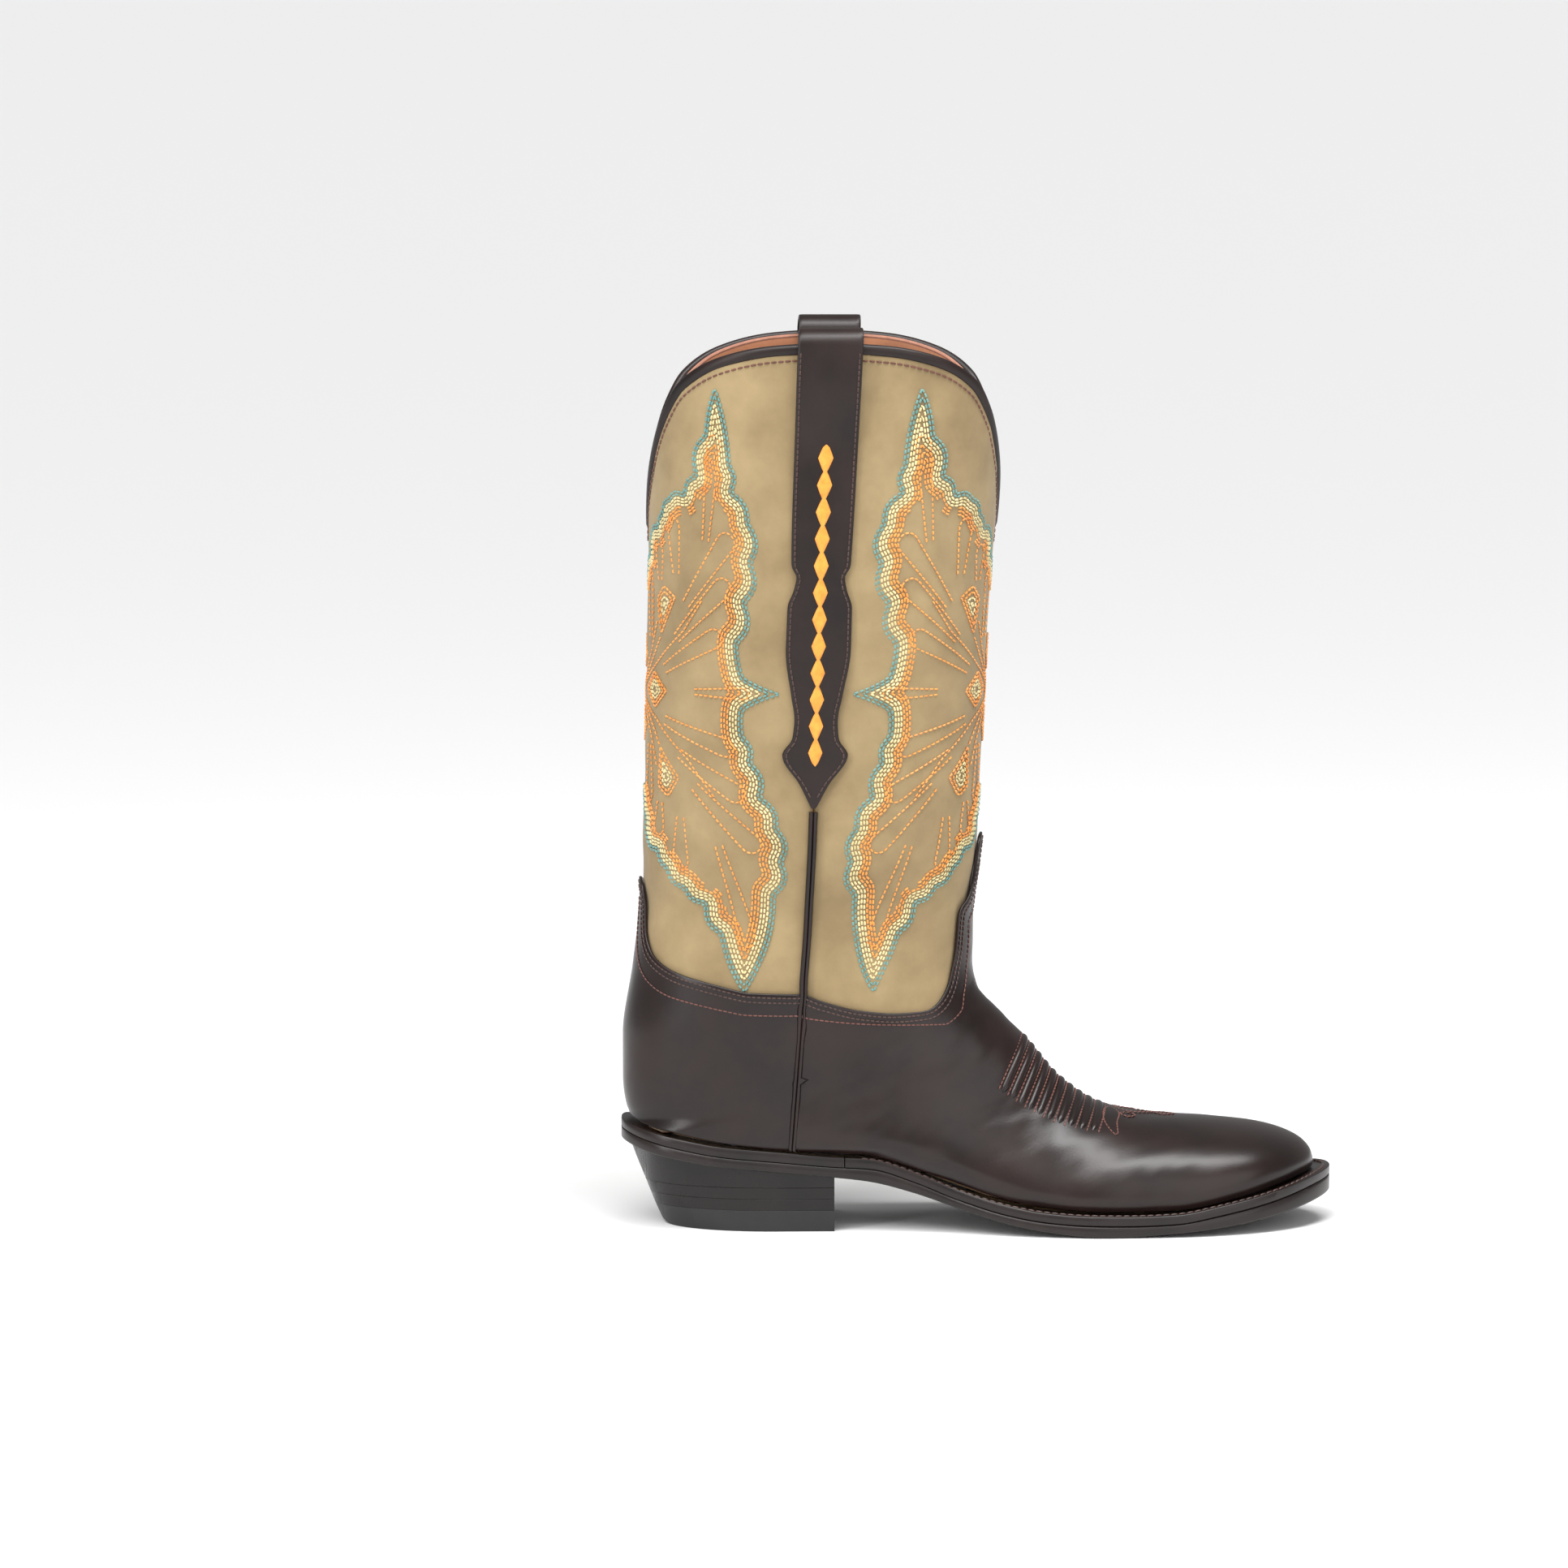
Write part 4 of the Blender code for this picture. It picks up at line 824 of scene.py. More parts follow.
def turn_share(t):
    """How far round its oval the girth line reaches at a station, as a share of half a turn."""
    end_squared, half_squared, back_round = (
        hermite(tuple(range(LAST + 1 - len(column), LAST + 1)), column, t) for column in
        (COLUMNS[4], COLUMNS[5], COLUMNS[8]))
    narrow = np.clip(np.sqrt(end_squared / half_squared), 0, 1) ** (1 / back_round)
    return 1 - np.arcsin(narrow) / math.pi


def fine_heel(top_edge, seam, rows, columns):
    """Grid from the counter's upper edge down to the feather line round the heel."""
    top = resample(np.concatenate([top_edge[top_edge[:, 1] > seam[0, 1] + 0.004], seam[:1]]), columns)
    share = np.linspace(0, 1, columns)
    foot_t = HEEL_CORNER + (seam[-1, 0] - HEEL_CORNER) * share**1.3
    foot = np.stack([foot_t, turn_share(foot_t)], axis=1)
    half = between(top, foot, rows)
    at = np.linspace(0, len(seam) - 1, rows)
    side = np.stack([seam[:, 0], seam[:, 1] * turn_share(seam[:, 0])], axis=1)
    half[:, -1] = [[np.interp(a, range(len(seam)), side[:, i]) for i in (0, 1)] for a in at]
    half[..., 1] = np.minimum(half[..., 1] / turn_share(half[..., 0]), 1.0)
    return np.concatenate([mirrored(half[:, :0:-1]), half], axis=1)


def inset(path, distance):
    """A path moved toward its right-hand side on the surface, cleaned of points that fold back."""
    moved = shifted(path, distance)
    here = girth_point(moved[:, 0], moved[:, 1])
    edge = girth_point(path[:, 0], path[:, 1])
    near = np.linalg.norm(here[:, None] - edge[None], axis=2).min(axis=1)
    return moved[near > abs(distance) * 0.93]


def both(paths):
    return [side_path for path in paths for side_path in (path, mirrored(path))]


def add_foot_stitches(top, seam, back_top, seam_back):
    """A double row along the edges of vamp and counter, and a single row farther in."""
    edge = resample(np.concatenate([top, seam[:1]]), 150)
    heel = resample(np.concatenate([back_top[back_top[:, 1] > seam_back[0, 1] + 0.004], seam_back[:1]]), 110)
    double = [path for distance in EDGE_ROWS for path in (inset(edge, distance), inset(heel, -distance))]
    single = [inset(edge[18:], INNER_ROW), inset(heel[8:], -INNER_ROW)]
    kinds = (("edge", double, EDGE_THREAD, "black_thread"), ("ogee", single, OGEE_THREAD, "brown_thread"))
    for name, rows, radius, look in kinds:
        runs = [along(path, COVER_OUT + THREAD_LIFT, FOOT_STITCH) for path in both(rows)]
        add_stitches(f"{name}_stitches", runs, radius, look)


def add_side_seam(side, label):
    """The narrow welt over the side seam: a crowned strip."""
    join = seam_join()[0]
    start = station_at(SEAM_TOP, STRAP_HALF[0][0] - 1.5)
    leg = [(t, float(seam_girth(t))) for t in np.linspace(start, join, 30)[:-1]]
    path = np.array(leg + [seam_line(v) for v in np.linspace(0, 1, 40)])
    path[-1, 1] = 0.998
    columns = []
    for u, drop in ((-1.0, 1.0), (-1.0, 0.1), (-0.72, -0.45), (-0.2, -0.5), (0.0, -0.15), (0.2, -0.5),
                    (0.72, -0.45), (1.0, 0.1), (1.0, 1.0)):
        moved = shifted(path, u * SIDE_WELT_WIDTH / 2) * (1, side)
        columns.append(upper(moved[:, 0], moved[:, 1], COVER_OUT - drop * COVER_THICKNESS))
    points = np.stack(columns, axis=1)
    ring_solid(f"side_seam_{label}", points, "dark_leather", [f"side_welt_{label}"])


# ---- pull straps


def beside_seam(side, z, sideways, offset):
    """Points beside the side seam, at heights and distances round the leg, held off it, for arrays."""
    t = stations(SEAM_TOP, z)
    centre = seam_girth(t)
    e = 0.01
    per_girth = np.linalg.norm(girth_point(t, centre + e) - girth_point(t, centre - e), axis=-1) / (2 * e)
    return upper(t, side * (centre - sideways / per_girth), offset)


def strap_course():
    """The strap's middle line: height, half-width and offset from the leg, over the rim and down inside."""
    outer = STRAP_STAND_OFF + STRAP_THICKNESS / 2
    inner_bottom = LINING_OUT - LINING_THICKNESS - LAYER_GAP - STRAP_THICKNESS / 2
    radius = outer
    fold = STRAP_TOP - STRAP_THICKNESS / 2 - radius
    rows = [(z, float(table(STRAP_HALF, z)), float(strap_offset(z))) for z in np.linspace(163.0, fold, 120)]
    top_half = STRAP_HALF[-1][1]
    for angle in np.radians(np.arange(12, 180, 12)):
        rows.append((fold + radius * math.sin(angle), top_half, radius * math.cos(angle)))
    for v in np.linspace(0, 1, 20):
        rows.append((fold + (STRAP_INSIDE_BOTTOM - fold) * v, top_half, -outer + (inner_bottom + outer) * v))
    return np.array(rows)


# Sections as share of the half-width and height: of the strap, in thicknesses, and of a diamond, in mm
SATIN_DOME = ((-1.0, 0.064), (-0.8, 0.4), (-0.4, 0.645), (0.0, 0.75), (0.4, 0.645), (0.8, 0.4), (1.0, 0.064),
              (0.0, -0.2))
PROFILE = ((-1.0, -0.5), (-1.0, 0.0), (-0.985, 0.33), (-0.95, 0.47), (-0.85, 0.5), (-0.5, 0.5), (0.0, 0.5),
           (0.5, 0.5), (0.85, 0.5), (0.95, 0.47), (0.985, 0.33), (1.0, 0.0), (1.0, -0.5), (0.5, -0.5),
           (0.0, -0.5),
           (-0.5, -0.5))


def add_strap(side, label):
    """The doubled strap: a section with rounded edges along its course over the rim."""
    z, half, offset = strap_course().T
    middle = beside_seam(side, z, np.zeros(len(z)), offset)
    across = beside_seam(side, z, np.full(len(z), 1.0), offset) - middle
    across /= np.linalg.norm(across, axis=1, keepdims=True)
    out = np.cross(across, np.gradient(middle, axis=0))
    out /= np.linalg.norm(out, axis=1, keepdims=True)
    reference = beside_seam(side, z[:1], np.zeros(1), offset[:1] + 1.0)[0] - middle[0]
    out *= np.sign(out[0] @ reference)
    points = np.stack([beside_seam(side, z, half * u, offset) + out * STRAP_THICKNESS * height
                       for u, height in PROFILE], axis=1)
    ring_solid(f"strap_{label}", points, "strap_leather", [f"pull_strap_{label}"])


# The row on the strap: distance from its edge, and height of the thread's middle
STRAP_ROW = 1.9
STRAP_THREAD_LIFT = 0.18
STRAP_THREAD_RADIUS = 0.32


def add_strap_stitches(side, label):
    """A row of stitches along either edge of the strap."""
    z = np.linspace(167.0, 333.0, 80)
    aside = np.maximum(table(STRAP_HALF, z) - STRAP_ROW, 0.2)
    lift = strap_offset(z) + STRAP_THICKNESS / 2 + STRAP_THREAD_LIFT
    runs = []
    for u in (-1, 1):
        line = beside_seam(side, z, u * aside, lift)
        runs.append((line, beside_seam(side, z, u * aside, lift + 1.0) - line))
    add_stitches(f"strap_stitches_{label}", runs, STRAP_THREAD_RADIUS, "black_thread")


def add_satin_chain(side, label):
    """The chain of diamonds down the strap, each domed like satin stitch."""
    low, high = DIAMOND_RANGE
    count = DIAMONDS * 10 + 1
    z = np.linspace(low, high, count)
    phase = np.abs(((z - low) / (high - low) * DIAMONDS) % 1.0 * 2 - 1)
    half = DIAMOND_NECK + (DIAMOND_HALF - DIAMOND_NECK) * (1 - phase) ** 0.95
    half[[0, -1]] = 0.12
    base = strap_offset(z) + STRAP_THICKNESS / 2
    points = np.stack([beside_seam(side, z, half * u, base + up) for u, up in SATIN_DOME], axis=1)
    ring_solid(f"satin_chain_{label}", points, "satin_thread",
               [f"strap_embroidery_{label}"])


# ---- sole


def sole_ring(ts, outward, top, bottom, bulge, slices=7):
    """Sections across the sole, lofted along it, each with a rounded edge."""
    sections = []
    angles = np.linspace(-math.pi / 2, math.pi / 2, slices)
    edge_up = (np.sign(np.sin(angles)) * np.abs(np.sin(angles)) ** 0.6 + 1) / 2
    edge_out = np.abs(np.cos(angles)) ** 0.6 - 1
    for x, half in outline(ts, outward):
        y = float(swing(x))
        hi, lo = top(x), bottom(x)
        half = max(half, 1.2)
        right = [(x, y + half + bulge * o, lo + (hi - lo) * u) for u, o in zip(edge_up, edge_out)]
        left = [(x, y - half - bulge * o, lo + (hi - lo) * u) for u, o in zip(edge_up[::-1], edge_out[::-1])]
        sections.append(right + left)
    return np.array(sections)


def top_at(distance):
    return lambda x: float(table(SOLE_TOP, x)) + distance


def bottom_at(distance):
    return lambda x: float(table(SOLE_BOTTOM, x)) + distance


def band_piece(name, ts, node):
    """The welt or rand: a U-shaped strip whose outer edge is rounded."""
    outer, inner = outline(ts, ledge), outline(ts, -WELT_INSIDE)
    ring = ((0.0, 0.0), (0.96, 0.0), (1.0, -0.12), (1.0, -0.88), (0.96, -1.0), (0.0, -1.0))
    rows = []
    for side, order in ((1, 1), (-1, -1)):
        for (xo, yo), (xi, yi) in list(zip(outer, inner))[::order]:
            section = []
            for u, w in ring:
                x, y = xi + (xo - xi) * u, yi + (yo - yi) * u
                section.append((x, float(swing(x)) + side * y,
                                float(table(SOLE_TOP, x)) + w * WELT_THICKNESS))
            rows.append(section)
    return ring_solid(name, np.array(rows), "edge_ink", [node], 50.0)


def add_soles():
    whole = sole_stations(None, None, 121)
    sole = sole_ring(whole, ledge, top_at(-WELT_THICKNESS - 0.05), bottom_at(0.0), 1.5)
    ring_solid("outsole_edge", sole, "edge_ink", ["outsole"], 60.0)
    band_piece("welt_strip", sole_stations(WELT_FROM, None, 90), "welt")
    band_piece("heel_rand", sole_stations(None, WELT_FROM - 0.4, 60)[::-1], "heel_seat_rand")
    ts = sole_stations(WELT_FROM + 6, None, 150)
    runs = []
    for side in (-1, 1):
        line = np.array([(x, float(swing(x)) + side * y, float(table(SOLE_TOP, x)) + 0.14)
                         for x, y in outline(ts, lambda x: ledge(x) * 0.62)])
        length = lengths(line)
        at = np.arange(0, length[-1], 3.0)
        line = np.stack([np.interp(at, length, line[:, i]) for i in range(3)], axis=1)
        runs.append((line, np.tile([0.0, 0.0, 1.0], (len(line), 1))))
    add_stitches("welt_stitches", runs, 0.42, "black_thread", gap=0.1)


# ---- heel


def heel_piece(name, low, high, look, nodes, foot=0.0):
    """One layer of the heel, lofted from the breast to the back with a slightly rounded outer edge."""
    height_at_back = tuple((x, z) for z, x in HEEL_BACK[::-1])
    end = HEEL_BACK[-1][1]
    for _ in range(5):
        end = float(table(HEEL_BACK, high(end)))
    xs = [*np.linspace(BREAST_X, HEEL_ROUND_FROM, 20)[:-1]]
    xs += [HEEL_ROUND_FROM - (HEEL_ROUND_FROM - end) * math.sin(a) for a in np.radians(np.arange(0,
                                                                                                 89.2, 2.2))]
    rows = []
    bevel = 0.1
    for x in xs:
        top = high(x)
        bottom = low(x)
        if x < HEEL_BACK[0][1] + foot:
            lean = max(HEEL_BACK[0][1] + foot - x, 0.0)
            bottom = max(bottom, min(foot, 0.30 * lean**1.3), float(table(height_at_back, x)))
        bottom = min(bottom, top - 0.05)
        thick = top - bottom
        section = []
        for share, pull in ((1.0, bevel), (1 - min(bevel / thick, 0.4), 0.0), (min(bevel / thick, 0.4), 0.0),
                            (0.0, bevel)):
            z = bottom + thick * share
            half = heel_half(x, z) - pull
            section.append((x, half, z))
        rows.append(section + [(x, -y, z) for x, y, z in section[::-1]])
    return ring_solid(name, np.array(rows), look, nodes, 35.0)


def add_heel():
    top, first, second = HEEL_LEVELS
    seam = 0.02
    heel_piece("top_lift", lambda x: 0.0, lambda x: top, "heel_rubber",
               ["heel_top_lift"], foot=3.0)
    heel_piece("lift_one", lambda x: top + seam, lambda x: first, "heel_stack",
               ["heel_lift_1"])
    heel_piece("lift_two", lambda x: first + seam, lambda x: second, "heel_stack",
               ["heel_lift_2"])
    heel_piece("lift_wedge", lambda x: second + seam, bottom_at(-seam), "heel_stack",
               ["heel_wedge"])


# ---- embroidery

# Half of the butterfly, as distance round the leg from the panel's centre line and height: from the V over
# the centre up to the wing tip, down the side of the seam to the lower tip and back to the centre
WING = ((0, 240), (5.9, 250), (13.3, 256), (15.9, 264), (23.7, 267), (27.9, 272), (34, 278), (43, 280),
        (49.5, 287), (55.5, 302), (62.6, 321), (67, 291), (66.5, 281), (72, 269.5), (71, 254.5),
        (66.5, 239.4), (61.8, 224.2), (62.5, 212), (78, 205.5), (61, 199), (60, 189.5), (61.8, 179.7),
        (63.9, 166.8), (68.5, 155), (68.8, 142), (64.9, 128.9), (54, 90.5), (43.5, 113.5), (38, 124.5),
        (30, 130), (22.5, 137), (18, 143.5), (10, 147), (8.1, 154.5), (4.2, 161.6), (0, 167.5))
BAND_COLOURS = ("teal", "teal", "cream", "cream", "cream", "orange", "orange", "orange")
BAND_FIRST = 0.6
BAND_PITCH = 1.12
STITCH_LENGTH = 2.1
# Round-ended feathers inside the band: outer end, inner end, half-width
FEATHERS = (((61, 262), (40, 238), 3.8), ((57.5, 245), (34, 225), 3.8), ((52, 226), (26, 213), 3.6),
            ((52, 185), (25, 194), 3.6), ((54, 168), (32, 182), 3.8), ((58, 149), (38, 170), 3.8),
            ((36, 267), (36, 249), 3.6), ((25, 257), (25, 246), 3), ((14, 246), (15, 224), 3.6),
            ((30, 141), (31, 158), 3.4), ((19.5, 153), (20.5, 163), 3), ((12, 165), (13, 184), 3.2),
            ((60, 299), (52, 262), 3), ((54, 112), (46, 148), 3), ((61.5, 205.5), (41, 205.5), 2.2))
# Small closed figures, stitched as rings from outside inward
FIGURES = (((0, 224.6), (8.2, 217.5), (0, 210.4), (-8.2, 217.5)),
           ((0, 197.4), (8.2, 190.4), (0, 183.4), (-8.2, 190.4)),
           ((18.6, 211.6), (26.8, 204.8), (18.6, 198), (10.4, 204.8)),
           ((34.5, 240.5), (28, 244.5), (22.5, 239.5), (24.6, 226)),
           ((22, 183.5), (31.5, 172.5), (25.5, 165), (20, 168.5)))
RING_COLOURS = ("orange", "orange", "cream", "cream")
RING_PITCH = 1.1
# Dotted lines that cross in the middle
CROSSINGS = (((0, 203.8), (9, 211.5), (16, 220), (21.5, 231)),
             ((0, 202.2), (10.5, 210), (18, 217.5), (24, 225)),
             ((0, 202.2), (9, 195.5), (15, 187), (19, 176)),
             ((0, 203.8), (10.5, 197), (17.5, 190), (21.5, 184)),
             ((8.5, 207.5), (20, 214.5), (38, 228), (48, 240)),
             ((8.5, 199.5), (20, 193.5), (36, 180), (46, 166)))
THREAD_RADIUS = 0.44
# The wings of the back panel lean in at the top, about the height where the lines cross
BACK_LEAN = 0.0011
CROSSING_HEIGHT = 203.0


@functools.lru_cache
def panel_table(back):
    """Girth positions and arc lengths from a panel's centre line, on a grid of heights."""
    heights = np.linspace(90.0, 325.0, 48)
    share = np.linspace(0.0, 0.62, 63)
    s = 1 - share if back else share
    grid_s = np.broadcast_to(s, (len(heights), len(s)))
    t = stations(grid_s, heights[:, None])
    step = np.linalg.norm(np.diff(girth_point(t, grid_s), axis=1), axis=2)
    arcs = np.concatenate([np.zeros((len(heights), 1)), np.cumsum(step, axis=1)], axis=1)
    return heights, share, arcs


def on_panel(points, back):
    """(t, s) of points given as distance from a panel's centre line and height."""
    heights, share, arcs = panel_table(back)
    points = np.array(points, float)
    if back:
        points[:, 0] *= 1 - BACK_LEAN * (points[:, 1] - CROSSING_HEIGHT)
    row = np.clip((points[:, 1] - heights[0]) / (heights[1] - heights[0]), 0, len(heights) - 1.001)
    low = row.astype(int)
    part = row - low
    s = np.empty(len(points))
    for i in range(len(points)):
        line = arcs[low[i]] * (1 - part[i]) + arcs[low[i] + 1] * part[i]
        s[i] = np.interp(abs(points[i, 0]), line, share)
    s = (1 - s if back else s) * np.where(points[:, 0] < 0, -1, 1)
    return stations(s, points[:, 1]), s


def fine_line(points, step=0.5):
    points = np.asarray(points, float)
    length = lengths(points)
    at = np.linspace(0, length[-1], max(int(round(length[-1] / step)), 1) + 1)
    return np.stack([np.interp(at, length, points[:, i]) for i in (0, 1)], axis=1)


def scalloped(points):
    """The outline with each short side bulging outward, as a fine line."""
    made = []
    for a, b in zip(np.asarray(points[:-1], float), np.asarray(points[1:], float)):
        side = b - a
        length = np.linalg.norm(side)
        bulge = 0.2 if length < 17 else 0.05
        if b[1] < 220 and a[1] > 190:
            bulge = -0.04
        u = np.linspace(0, 1, max(int(length / 0.5), 2))[:-1, None]
        outward = np.array([-side[1], side[0]])
        made.append(a + side * u + outward * bulge * 4 * u * (1 - u))
    made.append(np.asarray(points[-1:], float))
    return np.concatenate(made)


def moved_in(line, distance):
    """Runs of the outline moved inward by a distance, without the parts that fold over each other."""
    whole = np.concatenate([line, line[::-1] * (-1, 1)])
    ahead = np.gradient(line, axis=0)
    ahead /= np.maximum(np.linalg.norm(ahead, axis=1, keepdims=True), 1e-9)
    runs = []
    turn = np.arctan2(-ahead[:, 0], ahead[:, 1])
    bend = (np.diff(turn) + math.pi) % (2 * math.pi) - math.pi
    base, angle = [line[:1]], [turn[:1]]
    for i, change in enumerate(bend):
        extra = int(abs(change) * distance / 0.4)
        u = np.linspace(0, 1, extra + 2)[1:]
        base.append(line[i] + (line[i + 1] - line[i]) * u[:, None])
        angle.append(turn[i] + change * u)
    base, angle = np.concatenate(base), np.concatenate(angle)
    moved = base + np.stack([np.cos(angle), np.sin(angle)], axis=1) * distance
    near = np.linalg.norm(moved[:, None] - whole[None], axis=2).min(axis=1)
    good = (near > distance - 0.12) & (moved[:, 0] >= 0)
    run = []
    for ok, point in zip(good, moved):
        if ok:
            if run and np.linalg.norm(point - run[-1]) > 3.0:
                runs.append(np.array(run))
                run = []
            run.append(point)
    if run:
        runs.append(np.array(run))
    return [run for run in runs if len(run) > 2]


def feather(end, start, half):
    """A U with a round outer end: two dotted lines that run inward and meet in a curve."""
    end, start = np.array(end), np.array(start)
    ahead = (end - start) / np.linalg.norm(end - start)
    side = np.array([-ahead[1], ahead[0]])
    arc = [end + half * (side * math.cos(a) + ahead * math.sin(a)) for a in np.linspace(0, math.pi, 12)]
    return np.array([start + side * half * 0.45, *arc, start - side * half * 0.45])


def as_run(line, back, step):
    line = fine_line(line)
    t, s = on_panel(line, back)
    return along(np.stack([t, s], axis=1), SHAFT_OUT + 0.22, step)


def two_sided(lines):
    return [np.asarray(line) * (side, 1) for line in lines for side in (1, -1)]


def add_embroidery():
    outline_line = scalloped(WING)
    threads = {"teal": [], "cream": [], "orange": []}
    for k, colour in enumerate(BAND_COLOURS):
        threads[colour] += two_sided(moved_in(outline_line, BAND_FIRST + BAND_PITCH * k))
    for figure in FIGURES:
        middle = np.mean(figure, axis=0)
        size = np.linalg.norm(np.array(figure) - middle, axis=1).min()
        for k, colour in enumerate(RING_COLOURS):
            ring = middle + (np.array([*figure, figure[0]]) - middle) * (1 - RING_PITCH * 1.35 * k / size)
            threads[colour] += two_sided([ring]) if middle[0] > 1 else [ring]
    dotted = two_sided([feather(*one) for one in FEATHERS] + [np.array(one) for one in CROSSINGS])
    for name, back in (("front", False), ("back", True)):
        for colour, lines in threads.items():
            runs = [as_run(line, back, STITCH_LENGTH) for line in lines]
            add_stitches(f"{colour}_stitches_{name}", runs, THREAD_RADIUS, f"{colour}_thread",
                         gap=0.2, around=5)
        runs = [as_run(line, back, STITCH_LENGTH) for line in dotted]
        add_stitches(f"dotted_stitches_{name}", runs, THREAD_RADIUS * 0.85, "orange_thread",
                     gap=0.28, around=5)


# The cords across the instep and the figure below them
BUG_FIRST = (18.5, 70.5)
BUG_LEAN = 0.5
CORDS = 10
CORD_PITCH = 4.3
CORD_REACH = (31.0, 26.0)
LOOPS = (((1.5, 2), (9, -0.5), (19, 1), (27, 7), (18, 5.5), (9, 5.5), (1.5, 2)),
         ((0, 3), (4, 8), (3.2, 13), (0, 19)), ((0, 19), (2.6, 22.5), (0, 27)),
         ((9, 5.5), (11.5, 9), (8, 12), (6, 8.5), (9, 5.5)))


def across_instep(distance, arcs):
    """(t, s) of points a distance along the instep from the first cord, and arcs off the centre line."""
    centre_t = np.linspace(8.0, 20.0, 400)
    centre = girth_point(centre_t, 0.0)
    length = lengths(centre)
    start = np.interp(BUG_FIRST[0], centre[:, 0], length)
    at = np.interp(start + np.asarray(distance, float), length, centre_t)
    foot = girth_point(at, 0.0)
    arcs = np.asarray(arcs, float)
    s = arcs / 105.0
    for _ in range(6):
        lo, hi = np.full(s.shape, 8.0), np.full(s.shape, 22.0)
        for _ in range(28):
            middle = (lo + hi) / 2
            point = girth_point(middle, s)
            behind = point[..., 0] - foot[..., 0] < BUG_LEAN * (point[..., 2] - foot[..., 2])
            lo, hi = np.where(behind, middle, lo), np.where(behind, hi, middle)
        t = (lo + hi) / 2
        reach = np.linalg.norm(girth_point(t, s) - foot, axis=-1) * 1.03
        s = s * np.where(np.abs(arcs) > 0.5, np.abs(arcs) / np.maximum(reach, 0.2), 1.0)
    return t, s


def add_toe_bug():
    runs = []
    for k in range(CORDS):
        reach = CORD_REACH[0] + (CORD_REACH[1] - CORD_REACH[0]) * k / (CORDS - 1)
        arcs = np.linspace(-reach, reach, 61)
        t, s = across_instep(np.full(61, CORD_PITCH * k), arcs)
        line = upper(t, s, COVER_OUT - 0.25)
        up = upper(t, s, COVER_OUT + 0.75) - line
        heading = np.gradient(line, axis=0)
        side = np.cross(heading, up)
        side /= np.linalg.norm(side, axis=1, keepdims=True)
        taper = np.clip((reach - np.abs(arcs)) / 2.5, 0.05, 1.0) ** 0.5
        tube(f"instep_cord_{k + 1}", line, side, up, np.stack([1.55 * taper, 1.0 * taper], 1), "dark_leather")
    for k in range(CORDS + 1):
        reach = CORD_REACH[0] + (CORD_REACH[1] - CORD_REACH[0]) * k / CORDS + 0.5
        arcs = np.linspace(-reach, reach, 61)
        t, s = across_instep(np.full(61, CORD_PITCH * (k - 0.5)), arcs)
        runs.append(along(np.stack([t, s], axis=1), COVER_OUT + 0.15, 1.9))
    base = CORD_PITCH * (CORDS - 0.5)
    for loop in LOOPS:
        line = fine_line(smooth_line(loop), 1.0)
        for side in (1, -1):
            t, s = across_instep(base + line[:, 1], np.maximum(line[:, 0], 0.15) * side)
            runs.append(along(np.stack([t, s], axis=1), COVER_OUT + 0.18, 1.9))
    add_stitches("instep_stitches", runs, 0.3, "brown_thread")


def smooth_line(points, steps=8):
    """A curve through points."""
    p = np.asarray(points, float)
    p = np.concatenate([2 * p[:1] - p[1:2], p, 2 * p[-1:] - p[-2:-1]])
    made = []
    for i in range(1, len(p) - 2):
        for u in np.linspace(0, 1, steps, endpoint=False):
            made.append(0.5 * (2 * p[i] + (p[i + 1] - p[i - 1]) * u
                               + (2 * p[i - 1] - 5 * p[i] + 4 * p[i + 1] - p[i + 2]) * u**2
                               + (3 * p[i] - p[i - 1] - 3 * p[i + 1] + p[i + 2]) * u**3))
    made.append(p[-2])
    return np.array(made)


# ---- the rest


INSIDE = (("counter_lining", "cognac_lining"), ("vamp_lining", "cognac_lining"),
          ("sock_liner", "cognac_lining"),
          ("heel_pad", "foam"), ("insole", "insole_leather"), ("shank", "steel"), ("forefoot_filler", "cork"),
          ("counter_stiffener", "board"), ("toe_box", "board"), ("heel_nail", "steel"),
          ("sole_peg", "peg_wood"))


def finish_carried_over():
    """Gives the CAD parts that stay, all of them inside the boot, their procedural materials."""
    for name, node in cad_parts.items():
        for start, look in INSIDE:
            if name.startswith(start):
                node.data.materials.clear()
                node.data.materials.append(FINISHES[look])


CAMERA_AT = (-0.073, -2.8, 0.48)
CAMERA_TARGET = (-0.073, 0.0, 0.167)
FOCAL_LENGTH = 171.1
SENSOR_WIDTH = 36.0
FARTHEST = 500.0
FLOOR_REACH = 150.0


def add_camera():
    """The camera level with the leg's top third, on the boot's outer side."""
    lens = bpy.data.cameras.new("camera")
    lens.lens = FOCAL_LENGTH
    lens.sensor_width = SENSOR_WIDTH
    lens.clip_end = FARTHEST
    camera = bpy.data.objects.new("camera", lens)
    bpy.context.scene.collection.objects.link(camera)
    camera.location = CAMERA_AT
    camera.rotation_euler = (Vector(CAMERA_TARGET) - camera.location).to_track_quat("-Z", "Y").to_euler()
    bpy.context.scene.camera = camera


def add_light(name, location, size, power, target=(0.0, 0.0, 0.15)):
    lamp = bpy.data.lights.new(name, "AREA")
    lamp.shape = "RECTANGLE"
    lamp.size, lamp.size_y = size
    lamp.energy = power
    holder = bpy.data.objects.new(name, lamp)
    bpy.context.scene.collection.objects.link(holder)
    holder.location = location
    holder.rotation_euler = (Vector(target) - Vector(location)).to_track_quat("-Z", "Y").to_euler()


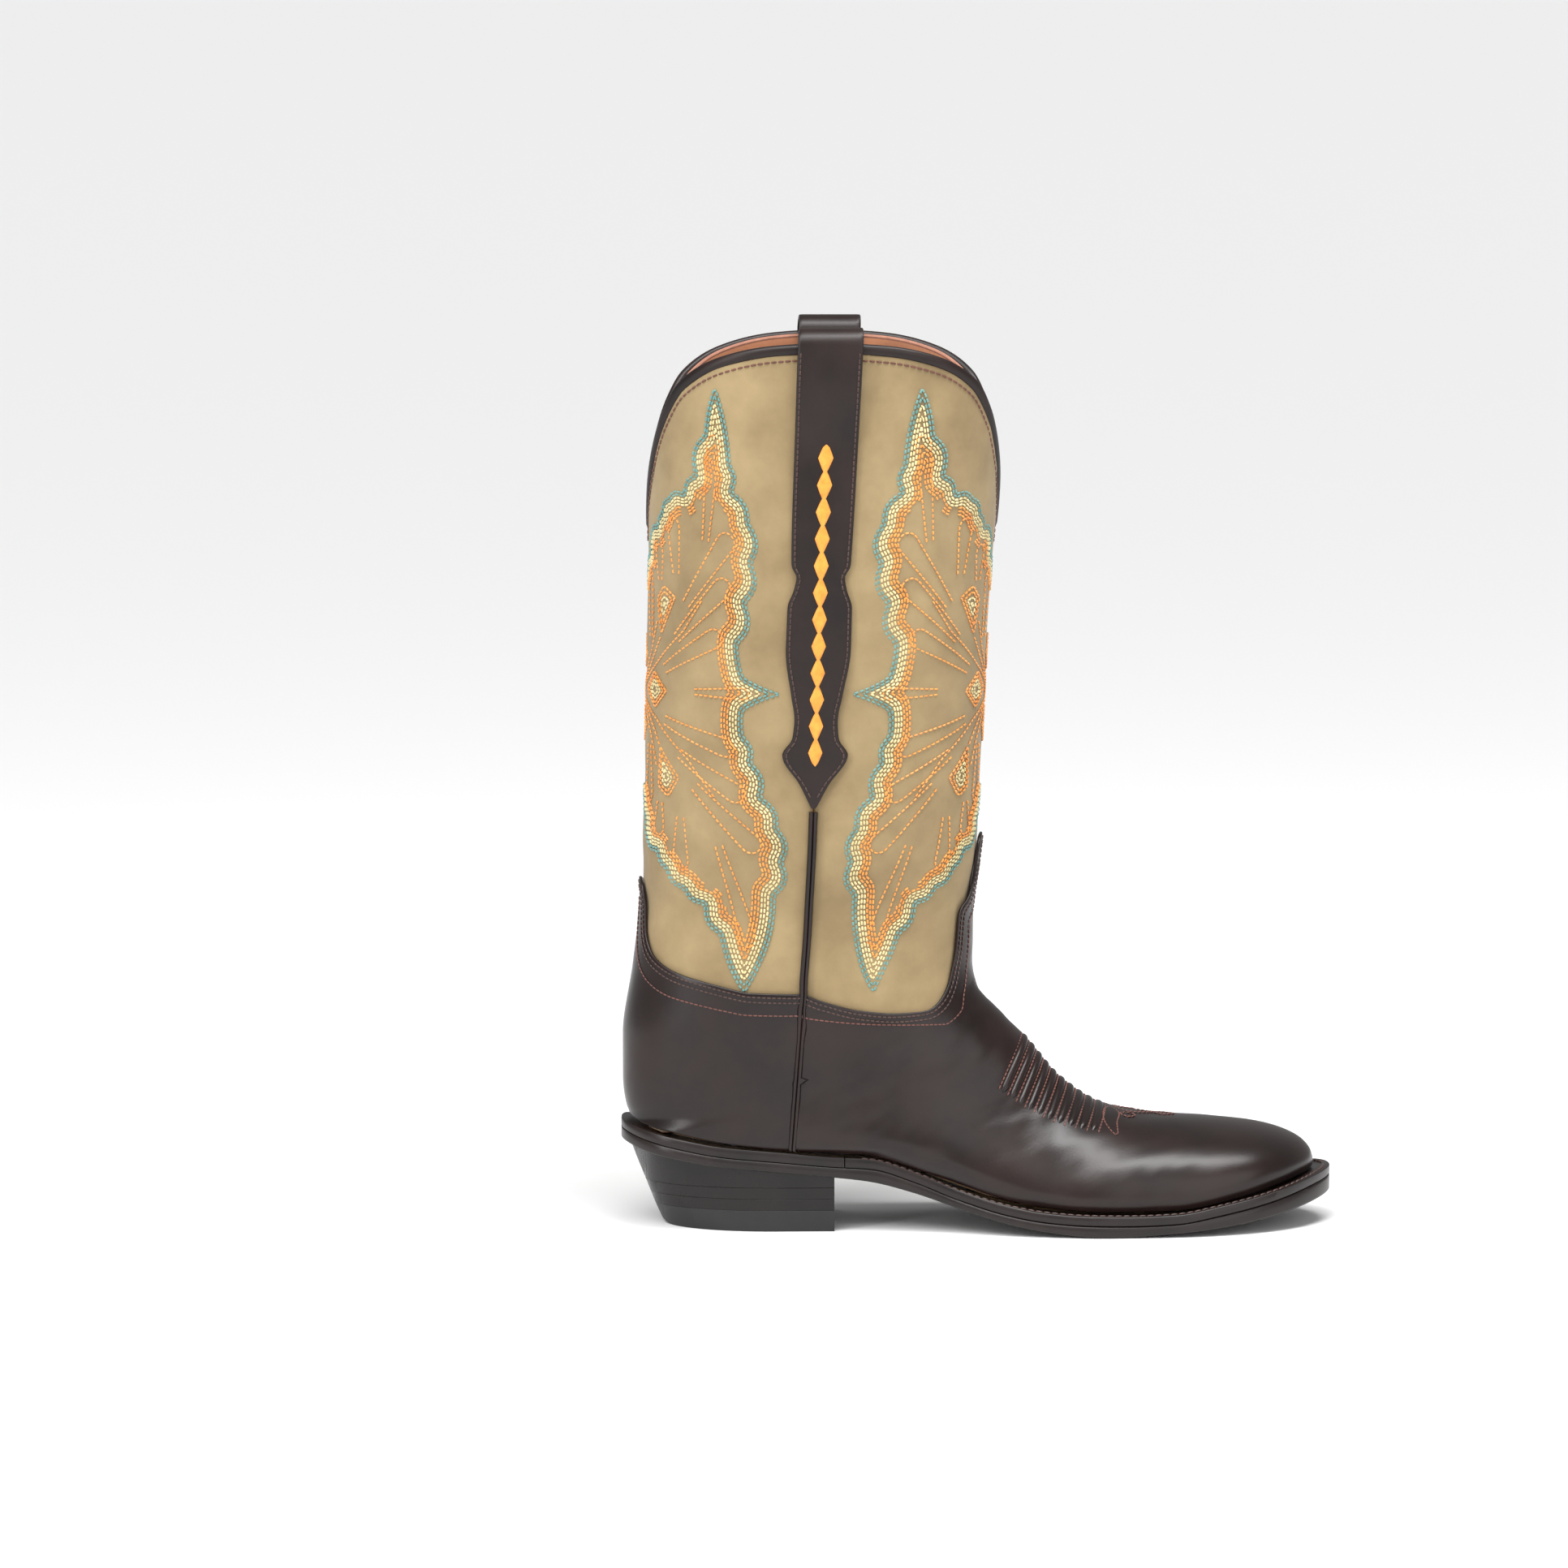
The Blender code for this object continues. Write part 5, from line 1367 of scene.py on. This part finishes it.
def add_sun(name, towards, strength, spread):
    """A distant soft light from a direction, its spread in degrees."""
    lamp = bpy.data.lights.new(name, "SUN")
    lamp.energy = strength
    lamp.angle = math.radians(spread)
    holder = bpy.data.objects.new(name, lamp)
    bpy.context.scene.collection.objects.link(holder)
    holder.rotation_euler = Vector(towards).to_track_quat("Z", "Y").to_euler()


def add_studio():
    """A white surround, soft daylight, two soft boxes and a pale floor."""
    world = bpy.data.worlds.new("studio")
    world.use_nodes = True
    tree = world.node_tree
    soft = tree.nodes["Background"]
    soft.inputs["Color"].default_value = (1.0, 1.0, 1.0, 1.0)
    soft.inputs["Strength"].default_value = 0.36
    seen = tree.nodes.new("ShaderNodeBackground")
    seen.inputs["Color"].default_value = (1.0, 1.0, 1.0, 1.0)
    seen.inputs["Strength"].default_value = 1.0
    ray = tree.nodes.new("ShaderNodeLightPath")
    choice = tree.nodes.new("ShaderNodeMixShader")
    tree.links.new(ray.outputs["Is Camera Ray"], choice.inputs["Fac"])
    tree.links.new(soft.outputs["Background"], choice.inputs[1])
    tree.links.new(seen.outputs["Background"], choice.inputs[2])
    tree.links.new(choice.outputs["Shader"], tree.nodes["World Output"].inputs["Surface"])
    bpy.context.scene.world = world
    add_sun("sun", (-0.5, -0.9, 1.3), 2.3, 40.0)
    add_sun("front_fill", (0.7, -1.2, 0.5), 0.9, 50.0)
    add_light("top_box", (0.25, -0.35, 1.3), (0.9, 0.35), 15.0)
    add_light("side_box", (-1.3, -1.3, 0.7), (0.3, 1.2), 10.0)
    mesh = bpy.data.meshes.new("floor")
    around = ((-1, -1), (1, -1), (1, 1), (-1, 1))
    mesh.from_pydata([(FLOOR_REACH * x, FLOOR_REACH * y, 0) for x, y in around], [], [(0, 1, 2, 3)])
    white = bpy.data.materials.new("floor")
    white.use_nodes = True
    white.node_tree.nodes["Principled BSDF"].inputs["Base Color"].default_value = (0.86, 0.86, 0.86, 1.0)
    white.node_tree.nodes["Principled BSDF"].inputs["Roughness"].default_value = 0.9
    mesh.materials.append(white)
    floor = bpy.data.objects.new("floor", mesh)
    bpy.context.scene.collection.objects.link(floor)


def main():
    bpy.context.scene.view_settings.view_transform = "Standard"
    add_leg()
    top, seam, back_top, seam_back = add_foot()
    add_foot_stitches(top, seam, back_top, seam_back)
    for side, label in ((-1, "lateral"), (1, "medial")):
        add_side_seam(side, label)
        add_strap(side, label)
        add_strap_stitches(side, label)
        add_satin_chain(side, label)
        add_rim(side, label)
    add_soles()
    add_heel()
    add_embroidery()
    add_toe_bug()
    finish_carried_over()
    add_camera()
    add_studio()


main()
